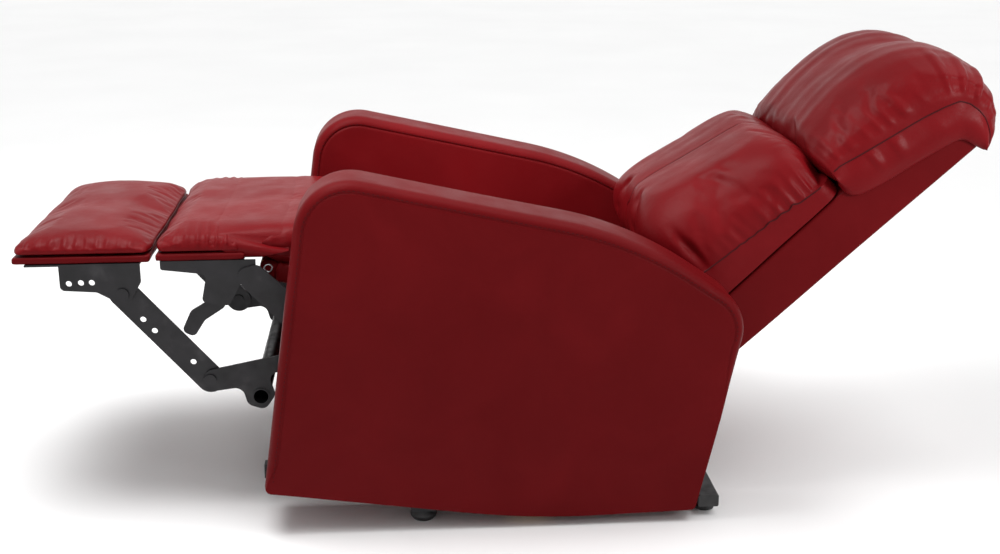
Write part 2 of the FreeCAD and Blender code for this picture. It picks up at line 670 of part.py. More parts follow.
plate_outline = [
    ("drive_pivot_y - 24", "drive_pivot_z - 28", "14"), ("back_pivot_y + 28", "back_pivot_z - 25", "14"),
    ("back_pivot_y + 28", "back_pivot_z + 27", "14"), ("drive_pivot_y + 60", "drive_pivot_z + 25", "20"),
    ("leg_pivot_y + 14", "leg_pivot_z + 18", "14"), ("leg_pivot_y - 20", "leg_pivot_z + 4", "14"),
    ("leg_pivot_y - 8", "leg_pivot_z - 20", "12"), ("drive_pivot_y - 28", "drive_pivot_z + 24", "16"),
]
plate_holes = [
    ("drive_pivot_y", "drive_pivot_z", "pin_radius"), ("leg_pivot_y", "leg_pivot_z", "pin_radius"),
    ("back_pivot_y", "back_pivot_z", "pin_radius"),
]
plate_holes += [("drive_pivot_y + %d" % step, "drive_pivot_z", "9") for step in (120, 240, 360, 460)]
pins = []
for side, word in SIDES:
    place = beside(BODY, PLATE_X, PLATE, side)
    node(
        "mechanism_plate_" + word,
        profile("mechanism_plate_" + word, plate_outline, plate_holes, "plate_thick", place),
    )
    for name in ("drive", "leg", "back"):
        start = moved(BODY, 0, size(name + "_pivot_y"), size(name + "_pivot_z"))
        reach = "2 * plate_thick + plate_gap + 0.4"
        near = SECOND_X - 0.4
        place = beside(start, near, size(reach), side)
        shaft = cylinder("pin_%s_%s" % (name, word), "pin_radius", reach, place)
        head = cylinder(
            "pin_head_%s_%s" % (name, word), "head_radius", "head_thick",
            beside(start, near - size("head_thick"), size("head_thick"), side),
        )
        pins.append(joined("pin_whole_%s_%s" % (name, word), [shaft, head]))
group("pivot_pins", pins)

# Seat frame, webbing and cushion.


def seat_bar(label, half, y_low, y_high, z_low, z_high):
    outline = box_corners(y_low, y_high, z_low, z_high, "2")
    return profile(label, outline, [], "2 * (%s)" % half, moved(SEAT, -size(half)))


front_rail = seat_bar("seat_front_rail", "side_rail_out", "0", "seat_rail", "-front_rail_tall", "0")
node("seat_front_rail", front_rail)
node(
    "seat_rear_rail",
    seat_bar("seat_rear_rail", ARM_IN, "seat_depth - seat_rail", "seat_depth", "-front_rail_tall", "0"),
)
node(
    "seat_support",
    seat_bar("seat_support", ARM_IN, "190", "190 + seat_rail", "-2 * side_rail_tall", "-side_rail_tall"),
)
rails = []
for side, word in SIDES:
    outline = box_corners("seat_rail", "seat_depth - seat_rail", "-side_rail_tall", "0", "2")
    place = beside(SEAT, size("side_rail_out - side_rail_wide"), size("side_rail_wide"), side)
    rails.append(profile("side_rail_" + word, outline, [], "side_rail_wide", place))
group("seat_side_rails", rails)

straps = []
for number in range(-2, 3):
    outline = box_corners("2", "seat_depth - 2", "0", "web_thick")
    place = moved(SEAT, number * size("web_pitch") - size("web_wide") / 2)
    straps.append(profile("web_%d" % (number + 2), outline, [], "web_wide", place))
group("seat_webbing", straps)


def arc(first, middle, last):
    return Part.Arc(first, middle, last).toShape()


def line(first, last):
    return Part.LineSegment(first, last).toShape()


def soft(label, wires, place):
    """Padded piece lofted across the chair."""
    piece = doc.addObject("Part::Feature", label)
    piece.Shape = Part.makeLoft(wires, True, False)
    piece.Placement = place
    return node(label, piece)


def pad_wire(x, front, rear, low, seam, crown, bulge, tip):
    """One cross section of a boxed cushion: flat below, drawn-in ends, round shoulders, crowned top."""
    inset = (rear - front) * 0.2
    rise = crown - seam
    a = V(x, front, low)
    b = V(x, rear, low)
    c = V(x, rear, low + seam)
    d = V(x, front, low + seam)
    e = V(x, rear - inset, low + seam + rise * (0.88 - tip))
    f = V(x, front + inset, low + seam + rise * (0.88 + tip))
    top = V(x, (front + rear) / 2, low + crown)
    rear_mid = V(x, rear + bulge, low + seam * 0.5)
    front_mid = V(x, front - bulge, low + seam * 0.5)
    rear_turn = V(x, rear - inset * 0.36, low + seam + rise * 0.58)
    front_turn = V(x, front + inset * 0.36, low + seam + rise * 0.58)
    edges = [line(a, b), arc(b, rear_mid, c), arc(c, rear_turn, e)]
    edges += [arc(e, top, f), arc(f, front_turn, d), arc(d, front_mid, a)]
    return Part.Wire(edges)


def boxed_cushion(label, half, front, rear, low, seam, crown, bulge, valley, place, tip=0.0):
    """Cushion with drawn-in sides, a crowned top, fuller at its front by tip, and a valley in its middle."""
    wires = []
    rows = [
        (-1.0, 9.0, 0.72, 0.30), (-0.93, 2.0, 0.92, 0.62), (-0.72, 0.0, 1.0, 0.90), (-0.36, 0.0, 1.0, 1.0),
        (0.0, 0.0, 1.0, None),
        (0.36, 0.0, 1.0, 1.0), (0.72, 0.0, 1.0, 0.90), (0.93, 2.0, 0.92, 0.62), (1.0, 9.0, 0.72, 0.30),
    ]
    for share, inset, seam_share, rise in rows:
        height = seam * seam_share
        above = crown - seam
        top = height + (above - valley if rise is None else above * rise)
        wires.append(
            pad_wire(half * share, front + inset, rear - inset, low, height, top, bulge, tip)
        )
    return soft(label, wires, place)


boxed_cushion(
    "seat_cushion", size("seat_space / 2") - 8, size("cushion_front"), size("cushion_rear"),
    size("web_thick + soft_gap"), size("cushion_side"), size("cushion_crown"), 8, 4, SEAT,
)

# Arms: timber frames inside padded covers.

ARM_OUTLINE = [
    ("0", "0"), ("arm_flat", "0", "arm_sweep"), ("arm_heel", "arm_heel_rise"),
    ("arm_length", "arm_rear_rise", "arm_corner"), ("arm_shoulder", "arm_shoulder_rise", "arm_turn"),
    ("arm_lean", "arm_height", "arm_nose"),
]
INNER_TOP = [
    ("arm_length - arm_wall - 4", "arm_rear_rise - 8", "arm_corner - 25"),
    ("arm_shoulder - 4", "arm_shoulder_rise - arm_wall", "arm_turn - 60"),
    ("arm_wall + arm_lean", "arm_height - arm_wall", "arm_nose - 18"),
]
CAVITY = [
    ("arm_wall - 20 * arm_lean / (arm_height - arm_wall)", "-20"), ("arm_flat", "-20"),
    ("arm_heel - arm_wall", "arm_heel_rise - 24"),
] + INNER_TOP
TIMBER = [
    ("arm_wall", "0"), ("arm_flat", "0"), ("arm_heel - arm_wall", "arm_heel_rise - 2"),
] + INNER_TOP
WINDOW = [
    ("arm_wall + frame_width", "frame_width"), ("arm_flat", "frame_width"),
    ("arm_heel - arm_wall - frame_width", "arm_heel_rise + frame_width"),
    ("arm_length - arm_wall - frame_width - 8", "arm_rear_rise - frame_width"),
    ("arm_shoulder - 20", "arm_shoulder_rise - arm_wall - frame_width"),
    ("arm_wall + frame_width - 8", "arm_height - arm_wall - frame_width"),
]


def rounded_sides(body, low_edges):
    """Round the edges of both side faces, all but those on the lower side."""
    base = body.Tip
    names = []
    for number, edge in enumerate(base.Shape.Edges, start=1):
        box = edge.BoundBox
        if box.XLength > 0.01:
            continue
        middle = edge.valueAt((edge.FirstParameter + edge.LastParameter) / 2)
        if low_edges(middle):
            continue
        names.append("Edge%d" % number)
    fillet = body.newObject("PartDesign::Fillet", body.Name + "_round")
    fillet.Base = (base, names)
    doc.recompute()
    body.Tip = fillet
    return fillet


def under_arm(point):
    return point.z < size("arm_heel_rise") + 1


for side, word in SIDES:
    place = beside(BODY, size(ARM_IN), size("arm_thick"), side)
    whole = profile("arm_whole_" + word, ARM_OUTLINE, [], "arm_thick", FreeCAD.Placement())
    fillet = rounded_sides(whole, under_arm)
    fillet.setExpression("Radius", bound("arm_round"))
    doc.recompute()
    whole.Placement = place
    inner = beside(BODY, size(ARM_IN + " + arm_wall"), size("arm_thick - 2 * arm_wall"), side)
    cavity = profile("arm_cavity_" + word, CAVITY, [], "arm_thick - 2 * arm_wall", inner)
    less("arm_cover_" + word, whole, cavity)
    node(
        "arm_frame_" + word,
        profile("arm_frame_" + word, TIMBER, [], "arm_thick - 2 * arm_wall", inner, [WINDOW]),
    )

# Reclining back.

SHELL_HALF = SECOND_X
shell_width = "2 * (seat_space / 2 - 2 * plate_thick - plate_gap)"
shell_outline = [
    ("-shell_front", "shell_low", "shell_round"), ("shell_rear", "shell_low", "shell_round"),
    ("shell_rear + shell_taper", "shell_high", "shell_round"), ("-shell_front", "shell_high", "shell_round"),
]
shell = profile("shell_whole", shell_outline, [], shell_width, FreeCAD.Placement())
fillet = rounded_sides(shell, lambda point: point.z < size("shell_low") + 1)
fillet.setExpression("Radius", bound("shell_round - 2"))
doc.recompute()
shell.Placement = moved(BACK, -SHELL_HALF)
core = [
    ("shell_wall - shell_front", "shell_low - 10"), ("shell_rear - shell_wall", "shell_low - 10"),
    ("shell_rear + shell_taper - shell_wall", "shell_high - shell_wall"),
    ("shell_wall - shell_front", "shell_high - shell_wall"),
]
core_width = shell_width + " - 2 * shell_wall"
hollow = profile("shell_hollow", core, [], core_width, moved(BACK, size("shell_wall") - SHELL_HALF))
less("back_shell", shell, hollow)

timber = doc.addObject("PartDesign::Body", "back_frame")
sketch = sketch_on(timber, "XZ_Plane")
half_core = "(%s) / 2" % core_width
draw_outline(
    sketch, box_corners("-" + half_core, half_core, "shell_low + 2", "shell_high - shell_wall")
)
draw_outline(
    sketch,
    box_corners(
        "frame_width - " + half_core, half_core + " - frame_width",
        "shell_low + 2 + 1.6 * frame_width", "shell_high - shell_wall - frame_width", "6",
    ),
)
pad_of(timber, sketch, "shell_front + shell_rear - 2 * shell_wall")
timber.Placement = moved(BACK, 0, size("shell_rear - shell_wall"))
node("back_frame", timber)

hinge_outline = [
    ("-18", "-16", "12"), ("18", "-16", "12"),
    ("34", "shell_low + 30", "12"), ("34", "shell_low + 150", "12"),
    ("-8", "shell_low + 150", "12"), ("-20", "shell_low + 30", "12"),
]
hinges = []
for side, word in SIDES:
    place = beside(BACK, SECOND_X, PLATE, side)
    holes = [("0", "0", "pin_radius + pin_clear")]
    holes += [("12", "shell_low + 60", "4"), ("12", "shell_low + 125", "4")]
    hinges.append(profile("hinge_" + word, hinge_outline, holes, "plate_thick", place))
group("back_brackets", hinges)



def shell_face(rise):
    """Rear face of the shell at a height above its lower end."""
    return "shell_rear + shell_taper * %s / (shell_high - shell_low)" % rise


flap_outline = [
    (shell_face(52), "shell_low + 52", "1"), (shell_face(46) + " + 7", "shell_low + 46", "2"),
    (shell_face(58) + " + 9", "shell_low + 58", "2"), (shell_face(84) + " + 2", "shell_low + 84", "0.6"),
    (shell_face(84), "shell_low + 84"),
]
flap_start = moved(BACK, size("flap_inset") - SHELL_HALF)
node("back_flap", profile("back_flap", flap_outline, [], shell_width + " - 2 * flap_inset", flap_start))

PILLOW = moved(BACK, 0, -size("shell_front + soft_gap"), 0, 90)
boxed_cushion(
    "back_cushion", size("pillow_half"), size("pillow_low + 12"), size("pillow_high - 12"), 0,
    size("pillow_side"), size("pillow_crown"), 12, 7, PILLOW, 0.08,
)


def head_wire(x, shrink, rise, crown):
    """Cross section of the head cushion, which folds over the shell's upper end."""
    low = size("head_low") + shrink
    high = size("head_high") - 2 * shrink
    shell_top = size("shell_high + soft_gap")
    behind = -size("shell_front + shell_rear + shell_taper") - 2
    seam = size("head_side") * rise
    bulge = size("head_crown") * crown
    a = V(x, low, 0)
    b = V(x, shell_top, 0)
    c = V(x, shell_top, behind)
    d = V(x, shell_top + (high - shell_top) * 0.62, behind)
    e = V(x, high - 4, seam * 0.15)
    f = V(x, low, seam)
    over = V(x, high - 1, behind * 0.42)
    top = V(x, low + (high - low) * 0.52, bulge)
    end = V(x, low - 7, seam * 0.5)
    return Part.Wire([line(a, b), line(b, c), line(c, d), arc(d, over, e), arc(e, top, f), arc(f, end, a)])


head_rows = [
    (-1.0, 9, 0.70, 0.52), (-0.93, 3, 0.92, 0.72), (-0.70, 0, 1.0, 0.93),
    (-0.34, 0, 1.0, 1.0), (0.0, 0, 1.0, 0.95),
    (0.34, 0, 1.0, 1.0), (0.70, 0, 1.0, 0.93), (0.93, 3, 0.92, 0.72), (1.0, 9, 0.70, 0.52),
]
half = size("pillow_half")
head_wires = [head_wire(half * share, inset, rise, crown) for share, inset, rise, crown in head_rows]
soft("head_cushion", head_wires, PILLOW)

# Leg and foot rest with its folding links.

lower_outline = [
    ("16", "14", "13"), ("-lower_reach - 4", "16 - lower_drop", "13"),
    ("-lower_reach - 18", "-lower_drop - 10", "13"), ("-lower_reach + 4", "-lower_drop - 20", "12"),
    ("-tube_reach - 30", "-lower_drop - 14", "16"), ("-tube_reach - 22", "-tube_drop - 14", "14"),
    ("-tube_reach + 6", "-tube_drop - 24", "14"), ("-tube_reach + 24", "-tube_drop + 2", "14"),
    ("-tube_reach + 12", "-lower_drop + 8", "14"), ("14", "-18", "14"),
]
lower_holes = [
    ("0", "0", "pin_radius + pin_clear"), ("-lower_reach", "-lower_drop", "pin_radius"),
    ("-tube_reach", "-tube_drop", "tube_radius"),
]
LONG_SPAN = "sqrt(long_reach ^ 2 + long_rise ^ 2)"
long_holes = [
    ("0", "0", "pin_radius + pin_clear"), (LONG_SPAN, "0", "pin_radius + pin_clear"),
    ("120", "8", "5"), ("146", "8", "5"), ("40", "0", "5"),
]

def rivet(name, frame, side):
    """Rivet through two plates, with a head on both sides."""
    reach = "2 * plate_thick + plate_gap + 0.3"
    near = THIRD_X - 0.3
    head = size("head_thick")
    shaft = cylinder(name + "_shaft", "pin_radius", reach, beside(frame, near, size(reach), side))
    inner = cylinder(name + "_inner", "head_radius", "head_thick", beside(frame, near - head, head, side))
    place = beside(frame, near + size(reach), head, side)
    outer = cylinder(name + "_outer", "head_radius", "head_thick", place)
    return joined(name, [shaft, inner, outer])


def rest_bracket(label, outline, holes, rear, front, rise, frame, side):
    """Angle bracket: a standing plate and a flange under its board."""
    place = beside(frame, SECOND_X, PLATE, side)
    upright = profile(label + "_web", outline, holes, "plate_thick", place)
    flange = profile(
        label + "_flange", box_corners(front, rear, rise + " - flange_thick", rise), [], "flange_width",
        beside(frame, SECOND_X + PLATE - size("flange_width"), size("flange_width"), side),
    )
    return node(label, joined(label, [upright, flange]))


foot_outline = [
    ("-12", "-12", "11"), ("12", "-12", "11"), ("30", "foot_rise - 32", "8"), ("30", "foot_rise"),
    ("-97", "foot_rise"), ("-97", "8", "8"), ("-40", "4", "12"),
]
foot_holes = [("0", "0", "pin_radius"), ("-83", "19", "5"), ("-64", "20", "5"), ("-47", "20", "5")]
leg_outline = [
    ("13", "-13", "11"), ("13", "leg_rise"), ("-138", "leg_rise"), ("-138", "leg_rise - 14", "4"),
    ("-66", "0", "8"), ("-76", "-47", "8"), ("-32", "-53", "8"), ("-12", "-16", "8"),
]
leg_holes = [("0", "0", "pin_radius + pin_clear")]
prop_outline = [
    ("-26", "-4", "6"), ("-50", "-2", "8"), ("-64", "-45", "16"), ("-96", "-64", "16"), ("-112", "-98", "9"),
    ("-92", "-108", "9"), ("-74", "-80", "16"), ("-40", "-58", "16"),
]
lower_rivets = []
foot_rivets = []
props = []
for side, word in SIDES:
    node(
        "lower_link_" + word,
        profile(
            "lower_link_" + word, lower_outline, lower_holes, "plate_thick",
            beside(REST, SECOND_X, PLATE, side),
        ),
    )
    long_link = profile(
        "long_link_" + word, slot_corners(LONG_SPAN, "long_width"), long_holes, "plate_thick",
        beside(LONG, THIRD_X, PLATE, side),
    )
    stud_length = "plate_thick + plate_gap" if side > 0 else "2 * plate_thick + plate_gap"
    extra_pad(long_link, [], [("stud_along", "-10", "pin_radius")], stud_length, side > 0)
    node("long_link_" + word, long_link)
    lower_rivets.append(rivet("lower_rivet_" + word, LOWER_END, side))
    foot_rivets.append(rivet("foot_rivet_" + word, FOOT, side))
    rest_bracket("foot_bracket_" + word, foot_outline, foot_holes, "30", "-150", "foot_rise", FOOT, side)
    rest_bracket(
        "leg_bracket_" + word, leg_outline, leg_holes, "leg_rear - 3", "-138", "leg_rise", LEG, side,
    )
    prop = profile("prop_" + word, prop_outline, [], "plate_thick", beside(LEG, FOURTH_X, PLATE, side))
    spacer = "2 * plate_thick + 2 * plate_gap"
    pegs = [("-38", "-14", "5"), ("-50", "-36", "5")]
    extra_pad(prop, [], pegs, spacer if side > 0 else "plate_thick + 2 * plate_gap", side < 0)
    props.append(prop)
group("lower_rivets", lower_rivets)
group("foot_rivets", foot_rivets)
group("leg_props", props)

tube_start = moved(REST, -SECOND_X - PLATE - 2, -size("tube_reach"), -size("tube_drop"))
tube_length = "2 * (seat_space / 2 - plate_thick - plate_gap + 2)"
tube_rings = [("0", "0", "tube_radius"), ("0", "0", "tube_radius - tube_wall")]
node("drive_tube", profile("drive_tube", [], tube_rings, tube_length, tube_start))


def board(label, front, rear, rise, frame):
    outline = box_corners(front, rear, rise, rise + " + board_thick", "4")
    return node(label, profile(label, outline, [], "rest_width", moved(frame, -size("rest_width") / 2)))


board("foot_board", "foot_front", "foot_rear", "foot_rise", FOOT)
board("leg_board", "leg_front", "leg_rear", "leg_rise", LEG)
REST_HALF = size("rest_width / 2")
boxed_cushion(
    "foot_cushion", REST_HALF, size("foot_front"), size("foot_rear"),
    size("foot_rise + board_thick + soft_gap"),
    size("foot_side"), size("foot_crown"), 2, 2, FOOT,
)
boxed_cushion(
    "leg_cushion", REST_HALF, size("leg_front"), size("leg_rear - 2"),
    size("leg_rise + board_thick + soft_gap"),
    size("leg_side"), size("leg_crown"), 2, 2, LEG,
)

doc.recompute()
for thing in doc.Objects:
    if "Invalid" in thing.State or "Error" in thing.State:
        raise RuntimeError("%s did not rebuild: %s" % (thing.Label, thing.State))
os.makedirs("parts", exist_ok=True)
for label, thing in nodes.items():
    shape = thing.Shape
    if shape.isNull() or not shape.isValid() or not shape.Solids:
        raise RuntimeError(label + " has no sound solid")
    shape.exportStep("parts/%s.step" % label)
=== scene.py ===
import json
import math

import bpy
from mathutils import Matrix, Vector, noise
from mathutils.bvhtree import BVHTree


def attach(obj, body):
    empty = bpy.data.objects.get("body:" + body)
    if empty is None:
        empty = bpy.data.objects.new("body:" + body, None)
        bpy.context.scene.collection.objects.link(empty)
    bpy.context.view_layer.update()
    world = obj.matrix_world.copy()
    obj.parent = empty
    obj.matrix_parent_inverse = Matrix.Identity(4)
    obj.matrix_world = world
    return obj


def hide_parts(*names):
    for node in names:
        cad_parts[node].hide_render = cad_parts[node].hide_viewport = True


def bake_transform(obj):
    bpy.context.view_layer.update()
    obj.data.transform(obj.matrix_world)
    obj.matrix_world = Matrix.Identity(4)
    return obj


# Looks of the lift chair: red upholstery over the chair body, back, leg rest and foot rest, and the finishes
# of the steel, plastic and timber underneath. All lengths are in metres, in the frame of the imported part.

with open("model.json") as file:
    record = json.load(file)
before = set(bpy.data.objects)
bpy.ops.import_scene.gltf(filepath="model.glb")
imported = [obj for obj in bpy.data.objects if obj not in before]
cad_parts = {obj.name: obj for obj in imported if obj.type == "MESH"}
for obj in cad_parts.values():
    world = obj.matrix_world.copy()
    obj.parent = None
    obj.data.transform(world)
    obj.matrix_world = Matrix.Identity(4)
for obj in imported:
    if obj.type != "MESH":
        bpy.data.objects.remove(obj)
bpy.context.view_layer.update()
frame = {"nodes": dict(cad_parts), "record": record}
scene = bpy.context.scene


def frame_at(y, z, degrees):
    return Matrix.Translation((0, y, z)) @ Matrix.Rotation(math.radians(degrees), 4, "X")


# Frames of the chair body, the seat, the back, the foot rest and the leg rest, as they stand at rest.
BODY = frame_at(-0.414, 0.075, -8)
SEAT = BODY @ frame_at(-0.045, 0.345, -4.6)
BACK = frame_at(0.218, 0.188, -46.5)
FOOT = frame_at(-0.632, 0.378, 0)
LEG = frame_at(-0.432, 0.408, 0)

SIDES = ((1, "left"), (-1, "right"))


# Materials.


def srgb(red, green, blue):
    """Linear colour with full alpha for a colour as a screen shows it, 0 to 255."""
    linear = []
    for part in (red, green, blue):
        share = part / 255
        linear.append(share / 12.92 if share < 0.04 else ((share + 0.055) / 1.055) ** 2.4)
    return linear + [1.0]


class Finish:
    """A material and short ways to add nodes to it."""

    def __init__(self, name):
        self.material = bpy.data.materials.new(name)
        self.material.use_nodes = True
        self.tree = self.material.node_tree
        self.shader = self.tree.nodes["Principled BSDF"]
        self.place = self.tree.nodes.new("ShaderNodeTexCoord").outputs["Object"]

    def link(self, output, target):
        self.tree.links.new(output, target)

    def stretched(self, x, y, z):
        mapping = self.tree.nodes.new("ShaderNodeMapping")
        mapping.inputs["Scale"].default_value = (x, y, z)
        self.link(self.place, mapping.inputs["Vector"])
        return mapping.outputs["Vector"]

    def noise(self, scale, detail=3.0, vector=None, distortion=0.0):
        texture = self.tree.nodes.new("ShaderNodeTexNoise")
        texture.inputs["Scale"].default_value = scale
        texture.inputs["Detail"].default_value = detail
        texture.inputs["Distortion"].default_value = distortion
        self.link(vector or self.place, texture.inputs["Vector"])
        return texture.outputs["Fac"]

    def cells(self, scale, feature="DISTANCE_TO_EDGE"):
        texture = self.tree.nodes.new("ShaderNodeTexVoronoi")
        texture.feature = feature
        texture.inputs["Scale"].default_value = scale
        self.link(self.place, texture.inputs["Vector"])
        return texture.outputs["Distance"]

    def spread(self, value, low, high, start=0.3, end=0.7):
        """Turn a texture value between start and end into one between low and high."""
        ranged = self.tree.nodes.new("ShaderNodeMapRange")
        ranged.inputs["From Min"].default_value = start
        ranged.inputs["From Max"].default_value = end
        ranged.inputs["To Min"].default_value = low
        ranged.inputs["To Max"].default_value = high
        self.link(value, ranged.inputs["Value"])
        return ranged.outputs["Result"]

    def colours(self, value, *stops):
        ramp = self.tree.nodes.new("ShaderNodeValToRGB")
        elements = ramp.color_ramp.elements
        while len(elements) < len(stops):
            elements.new(0.5)
        for element, (place, colour) in zip(elements, stops):
            element.position = place
            element.color = colour
        self.link(value, ramp.inputs["Fac"])
        self.link(ramp.outputs["Color"], self.shader.inputs["Base Color"])

    def bump(self, height, strength, distance, under=None):
        node = self.tree.nodes.new("ShaderNodeBump")
        node.inputs["Strength"].default_value = strength
        node.inputs["Distance"].default_value = distance
        self.link(height, node.inputs["Height"])
        if under is not None:
            self.link(under, node.inputs["Normal"])
        return node.outputs["Normal"]

    def rough(self, value):
        self.link(value, self.shader.inputs["Roughness"])

    def facing(self, normal):
        self.link(normal, self.shader.inputs["Normal"])


def leather(name, deep, middle, light, low_gloss, high_gloss, crease, shine):
    """Coated upholstery: uneven colour, pebbled grain, fine creases."""
    finish = Finish(name)
    tone = finish.noise(7.0, 5.0, distortion=0.6)
    finish.colours(tone, (0.30, deep), (0.52, middle), (0.74, light))
    finish.rough(finish.spread(finish.noise(24.0, 4.0), low_gloss, high_gloss))
    creases = finish.bump(finish.noise(38.0, 5.0, distortion=0.8), crease, 0.004)
    fine = finish.bump(finish.noise(170.0, 3.0), 0.16, 0.0012, creases)
    finish.facing(finish.bump(finish.cells(620.0), 0.22, 0.0006, fine))
    finish.shader.inputs["Specular IOR Level"].default_value = shine
    return finish.material


def painted_steel():
    finish = Finish("black_paint")
    tone = finish.noise(26.0, 6.0)
    finish.colours(tone, (0.30, srgb(15, 14, 16)), (0.60, srgb(27, 25, 28)), (0.80, srgb(52, 50, 52)))
    finish.rough(finish.spread(finish.noise(60.0, 3.0), 0.34, 0.56))
    finish.facing(finish.bump(finish.noise(420.0, 2.0), 0.12, 0.0006))
    finish.shader.inputs["Metallic"].default_value = 0.35
    return finish.material


def bright_metal(name, dark, pale, metallic, scratch):
    finish = Finish(name)
    lines = finish.noise(40.0, 4.0, finish.stretched(1.0, 9.0, 9.0))
    finish.colours(lines, (0.25, dark), (0.75, pale))
    finish.rough(finish.spread(lines, 0.22, 0.42))
    finish.facing(finish.bump(lines, scratch, 0.0006))
    finish.shader.inputs["Metallic"].default_value = metallic
    return finish.material


def moulded_plastic():
    finish = Finish("black_moulding")
    finish.colours(finish.noise(35.0, 4.0), (0.3, srgb(17, 17, 18)), (0.75, srgb(38, 37, 38)))
    finish.rough(finish.spread(finish.noise(90.0, 2.0), 0.40, 0.60))
    finish.facing(finish.bump(finish.cells(900.0), 0.15, 0.0005))
    return finish.material


def sawn_timber():
    finish = Finish("pale_timber")
    grain = finish.noise(9.0, 6.0, finish.stretched(9.0, 1.0, 9.0), 1.2)
    finish.colours(grain, (0.3, srgb(150, 113, 74)), (0.55, srgb(186, 148, 103)), (0.8, srgb(206, 172, 128)))
    finish.rough(finish.spread(grain, 0.55, 0.75))
    finish.facing(finish.bump(grain, 0.3, 0.001))
    return finish.material


def woven_web():
    finish = Finish("black_webbing")
    weave = finish.cells(480.0, "F1")
    finish.colours(weave, (0.2, srgb(46, 44, 44)), (0.8, srgb(20, 20, 21)))
    finish.rough(finish.spread(weave, 0.65, 0.85, 0.0, 1.0))
    finish.facing(finish.bump(weave, 0.5, 0.001))
    return finish.material


# Cover leather: the same red leather as the cushion leather below, painted darker. The difference is painted
# shade, matched to the shaded arm panels.
SHADED_COVER = leather(
    "red_cover_leather_painted_shade", srgb(89, 8, 12), srgb(93, 10, 14), srgb(98, 12, 16), 0.38, 0.50, 0.06, 0.05,
)
CUSHION = leather(
    "red_cushion_leather", srgb(99, 10, 15), srgb(104, 12, 17), srgb(110, 15, 20), 0.32, 0.44, 0.10, 0.07,
)
THREAD = leather(
    "dark_red_thread", srgb(52, 8, 12), srgb(58, 9, 13), srgb(66, 11, 16), 0.55, 0.70, 0.0, 0.10,
)
STEEL = painted_steel()
BRIGHT = bright_metal("plated_steel", srgb(128, 130, 132), srgb(196, 198, 200), 1.0, 0.2)
ALLOY = bright_metal("drawn_alloy", srgb(150, 152, 155), srgb(188, 190, 193), 0.9, 0.12)
PLASTIC = moulded_plastic()
TIMBER = sawn_timber()
WEB = woven_web()

SLOT_FINISH = {
    "red_cover": SHADED_COVER,
    "red_cushion": CUSHION,
    "red_board": SHADED_COVER,
    "black_steel": STEEL,
    "bright_steel": BRIGHT,
    "grey_alloy": ALLOY,
    "black_plastic": PLASTIC,
    "timber": TIMBER,
    "webbing": WEB,
}
for entry in frame["record"]["subparts"]:
    materials = frame["nodes"][entry["node"]].data.materials
    materials.clear()
    materials.append(SLOT_FINISH[entry["material_slot"]])


# Meshes.

CLOTH_FRAMES = 20
CLOTH_PRESSURE = 4.0
THREAD_SIDES = 6


def add_mesh(name, points, faces, material):
    mesh = bpy.data.meshes.new(name)
    mesh.from_pydata(points, [], faces)
    mesh.polygons.foreach_set("use_smooth", [True] * len(mesh.polygons))
    mesh.materials.append(material)
    item = bpy.data.objects.new(name, mesh)
    scene.collection.objects.link(item)
    return item


def bake(item):
    """Apply what the modifiers make."""
    graph = bpy.context.evaluated_depsgraph_get()
    mesh = bpy.data.meshes.new_from_object(item.evaluated_get(graph))
    item.modifiers.clear()
    item.data = mesh
    mesh.polygons.foreach_set("use_smooth", [True] * len(mesh.polygons))


def points_of(mesh):
    return [vertex.co.copy() for vertex in mesh.vertices]


def set_points(mesh, points):
    mesh.vertices.foreach_set("co", [part for point in points for part in point])
    mesh.update()


def soft_copy(node, name, voxel, material, smooth):
    """Even mesh over a CAD node, with its edges eased."""
    item = bpy.data.objects.new(name, frame["nodes"][node].data.copy())
    scene.collection.objects.link(item)
    remesh = item.modifiers.new("even", "REMESH")
    remesh.mode = "VOXEL"
    remesh.voxel_size = voxel
    ease = item.modifiers.new("ease", "SMOOTH")
    ease.factor = 0.5
    ease.iterations = smooth
    bake(item)
    item.data.materials.clear()
    item.data.materials.append(material)
    return item


def push(item, local, move):
    """Move each point along its normal by move(point, normal) metres, both in the piece's own frame."""
    turn = local.inverted()
    points = points_of(item.data)
    normals = [vertex.normal.copy() for vertex in item.data.vertices]
    for index, normal in enumerate(normals):
        amount = move(turn @ points[index], turn.to_3x3() @ normal)
        points[index] += normal * amount
    set_points(item.data, points)


def swell(item, local, held, slack, cap):
    """Blow the cover up with cloth. Points that held() names stay, and no point moves further than cap."""
    turn = local.inverted()
    before = points_of(item.data)
    group = item.vertex_groups.new(name="held")
    group.add([n for n, point in enumerate(before) if held(turn @ point)], 1.0, "REPLACE")
    cloth = item.modifiers.new("swell", "CLOTH")
    settings = cloth.settings
    settings.quality = 4
    settings.mass = 0.25
    settings.tension_stiffness = 14
    settings.compression_stiffness = 14
    settings.shear_stiffness = 6
    settings.bending_stiffness = 0.35
    settings.shrink_min = -slack
    settings.use_pressure = True
    settings.uniform_pressure_force = CLOTH_PRESSURE
    settings.vertex_group_mass = "held"
    settings.effector_weights.gravity = 0
    cloth.collision_settings.use_collision = False
    for number in range(1, CLOTH_FRAMES + 1):
        scene.frame_set(number)
    graph = bpy.context.evaluated_depsgraph_get()
    after = points_of(item.evaluated_get(graph).data)
    item.modifiers.clear()
    item.vertex_groups.clear()
    for index, point in enumerate(after):
        move = point - before[index]
        if move.length > cap:
            after[index] = before[index] + move * (cap / move.length)
    set_points(item.data, after)
    scene.frame_set(1)


def subdivide(item):
    item.modifiers.new("finer", "SUBSURF").levels = 1
    bake(item)


def dress(item, body, slot, *nodes):
    if nodes:
        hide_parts(*nodes)
    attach(item, body)


def fade(value, start, end):
    """0 before start, 1 after end, smooth between."""
    share = min(max((value - start) / (end - start), 0.0), 1.0)
    return share * share * (3 - 2 * share)


def ripple(x, y, z):
    return noise.noise(Vector((x, y, z)))


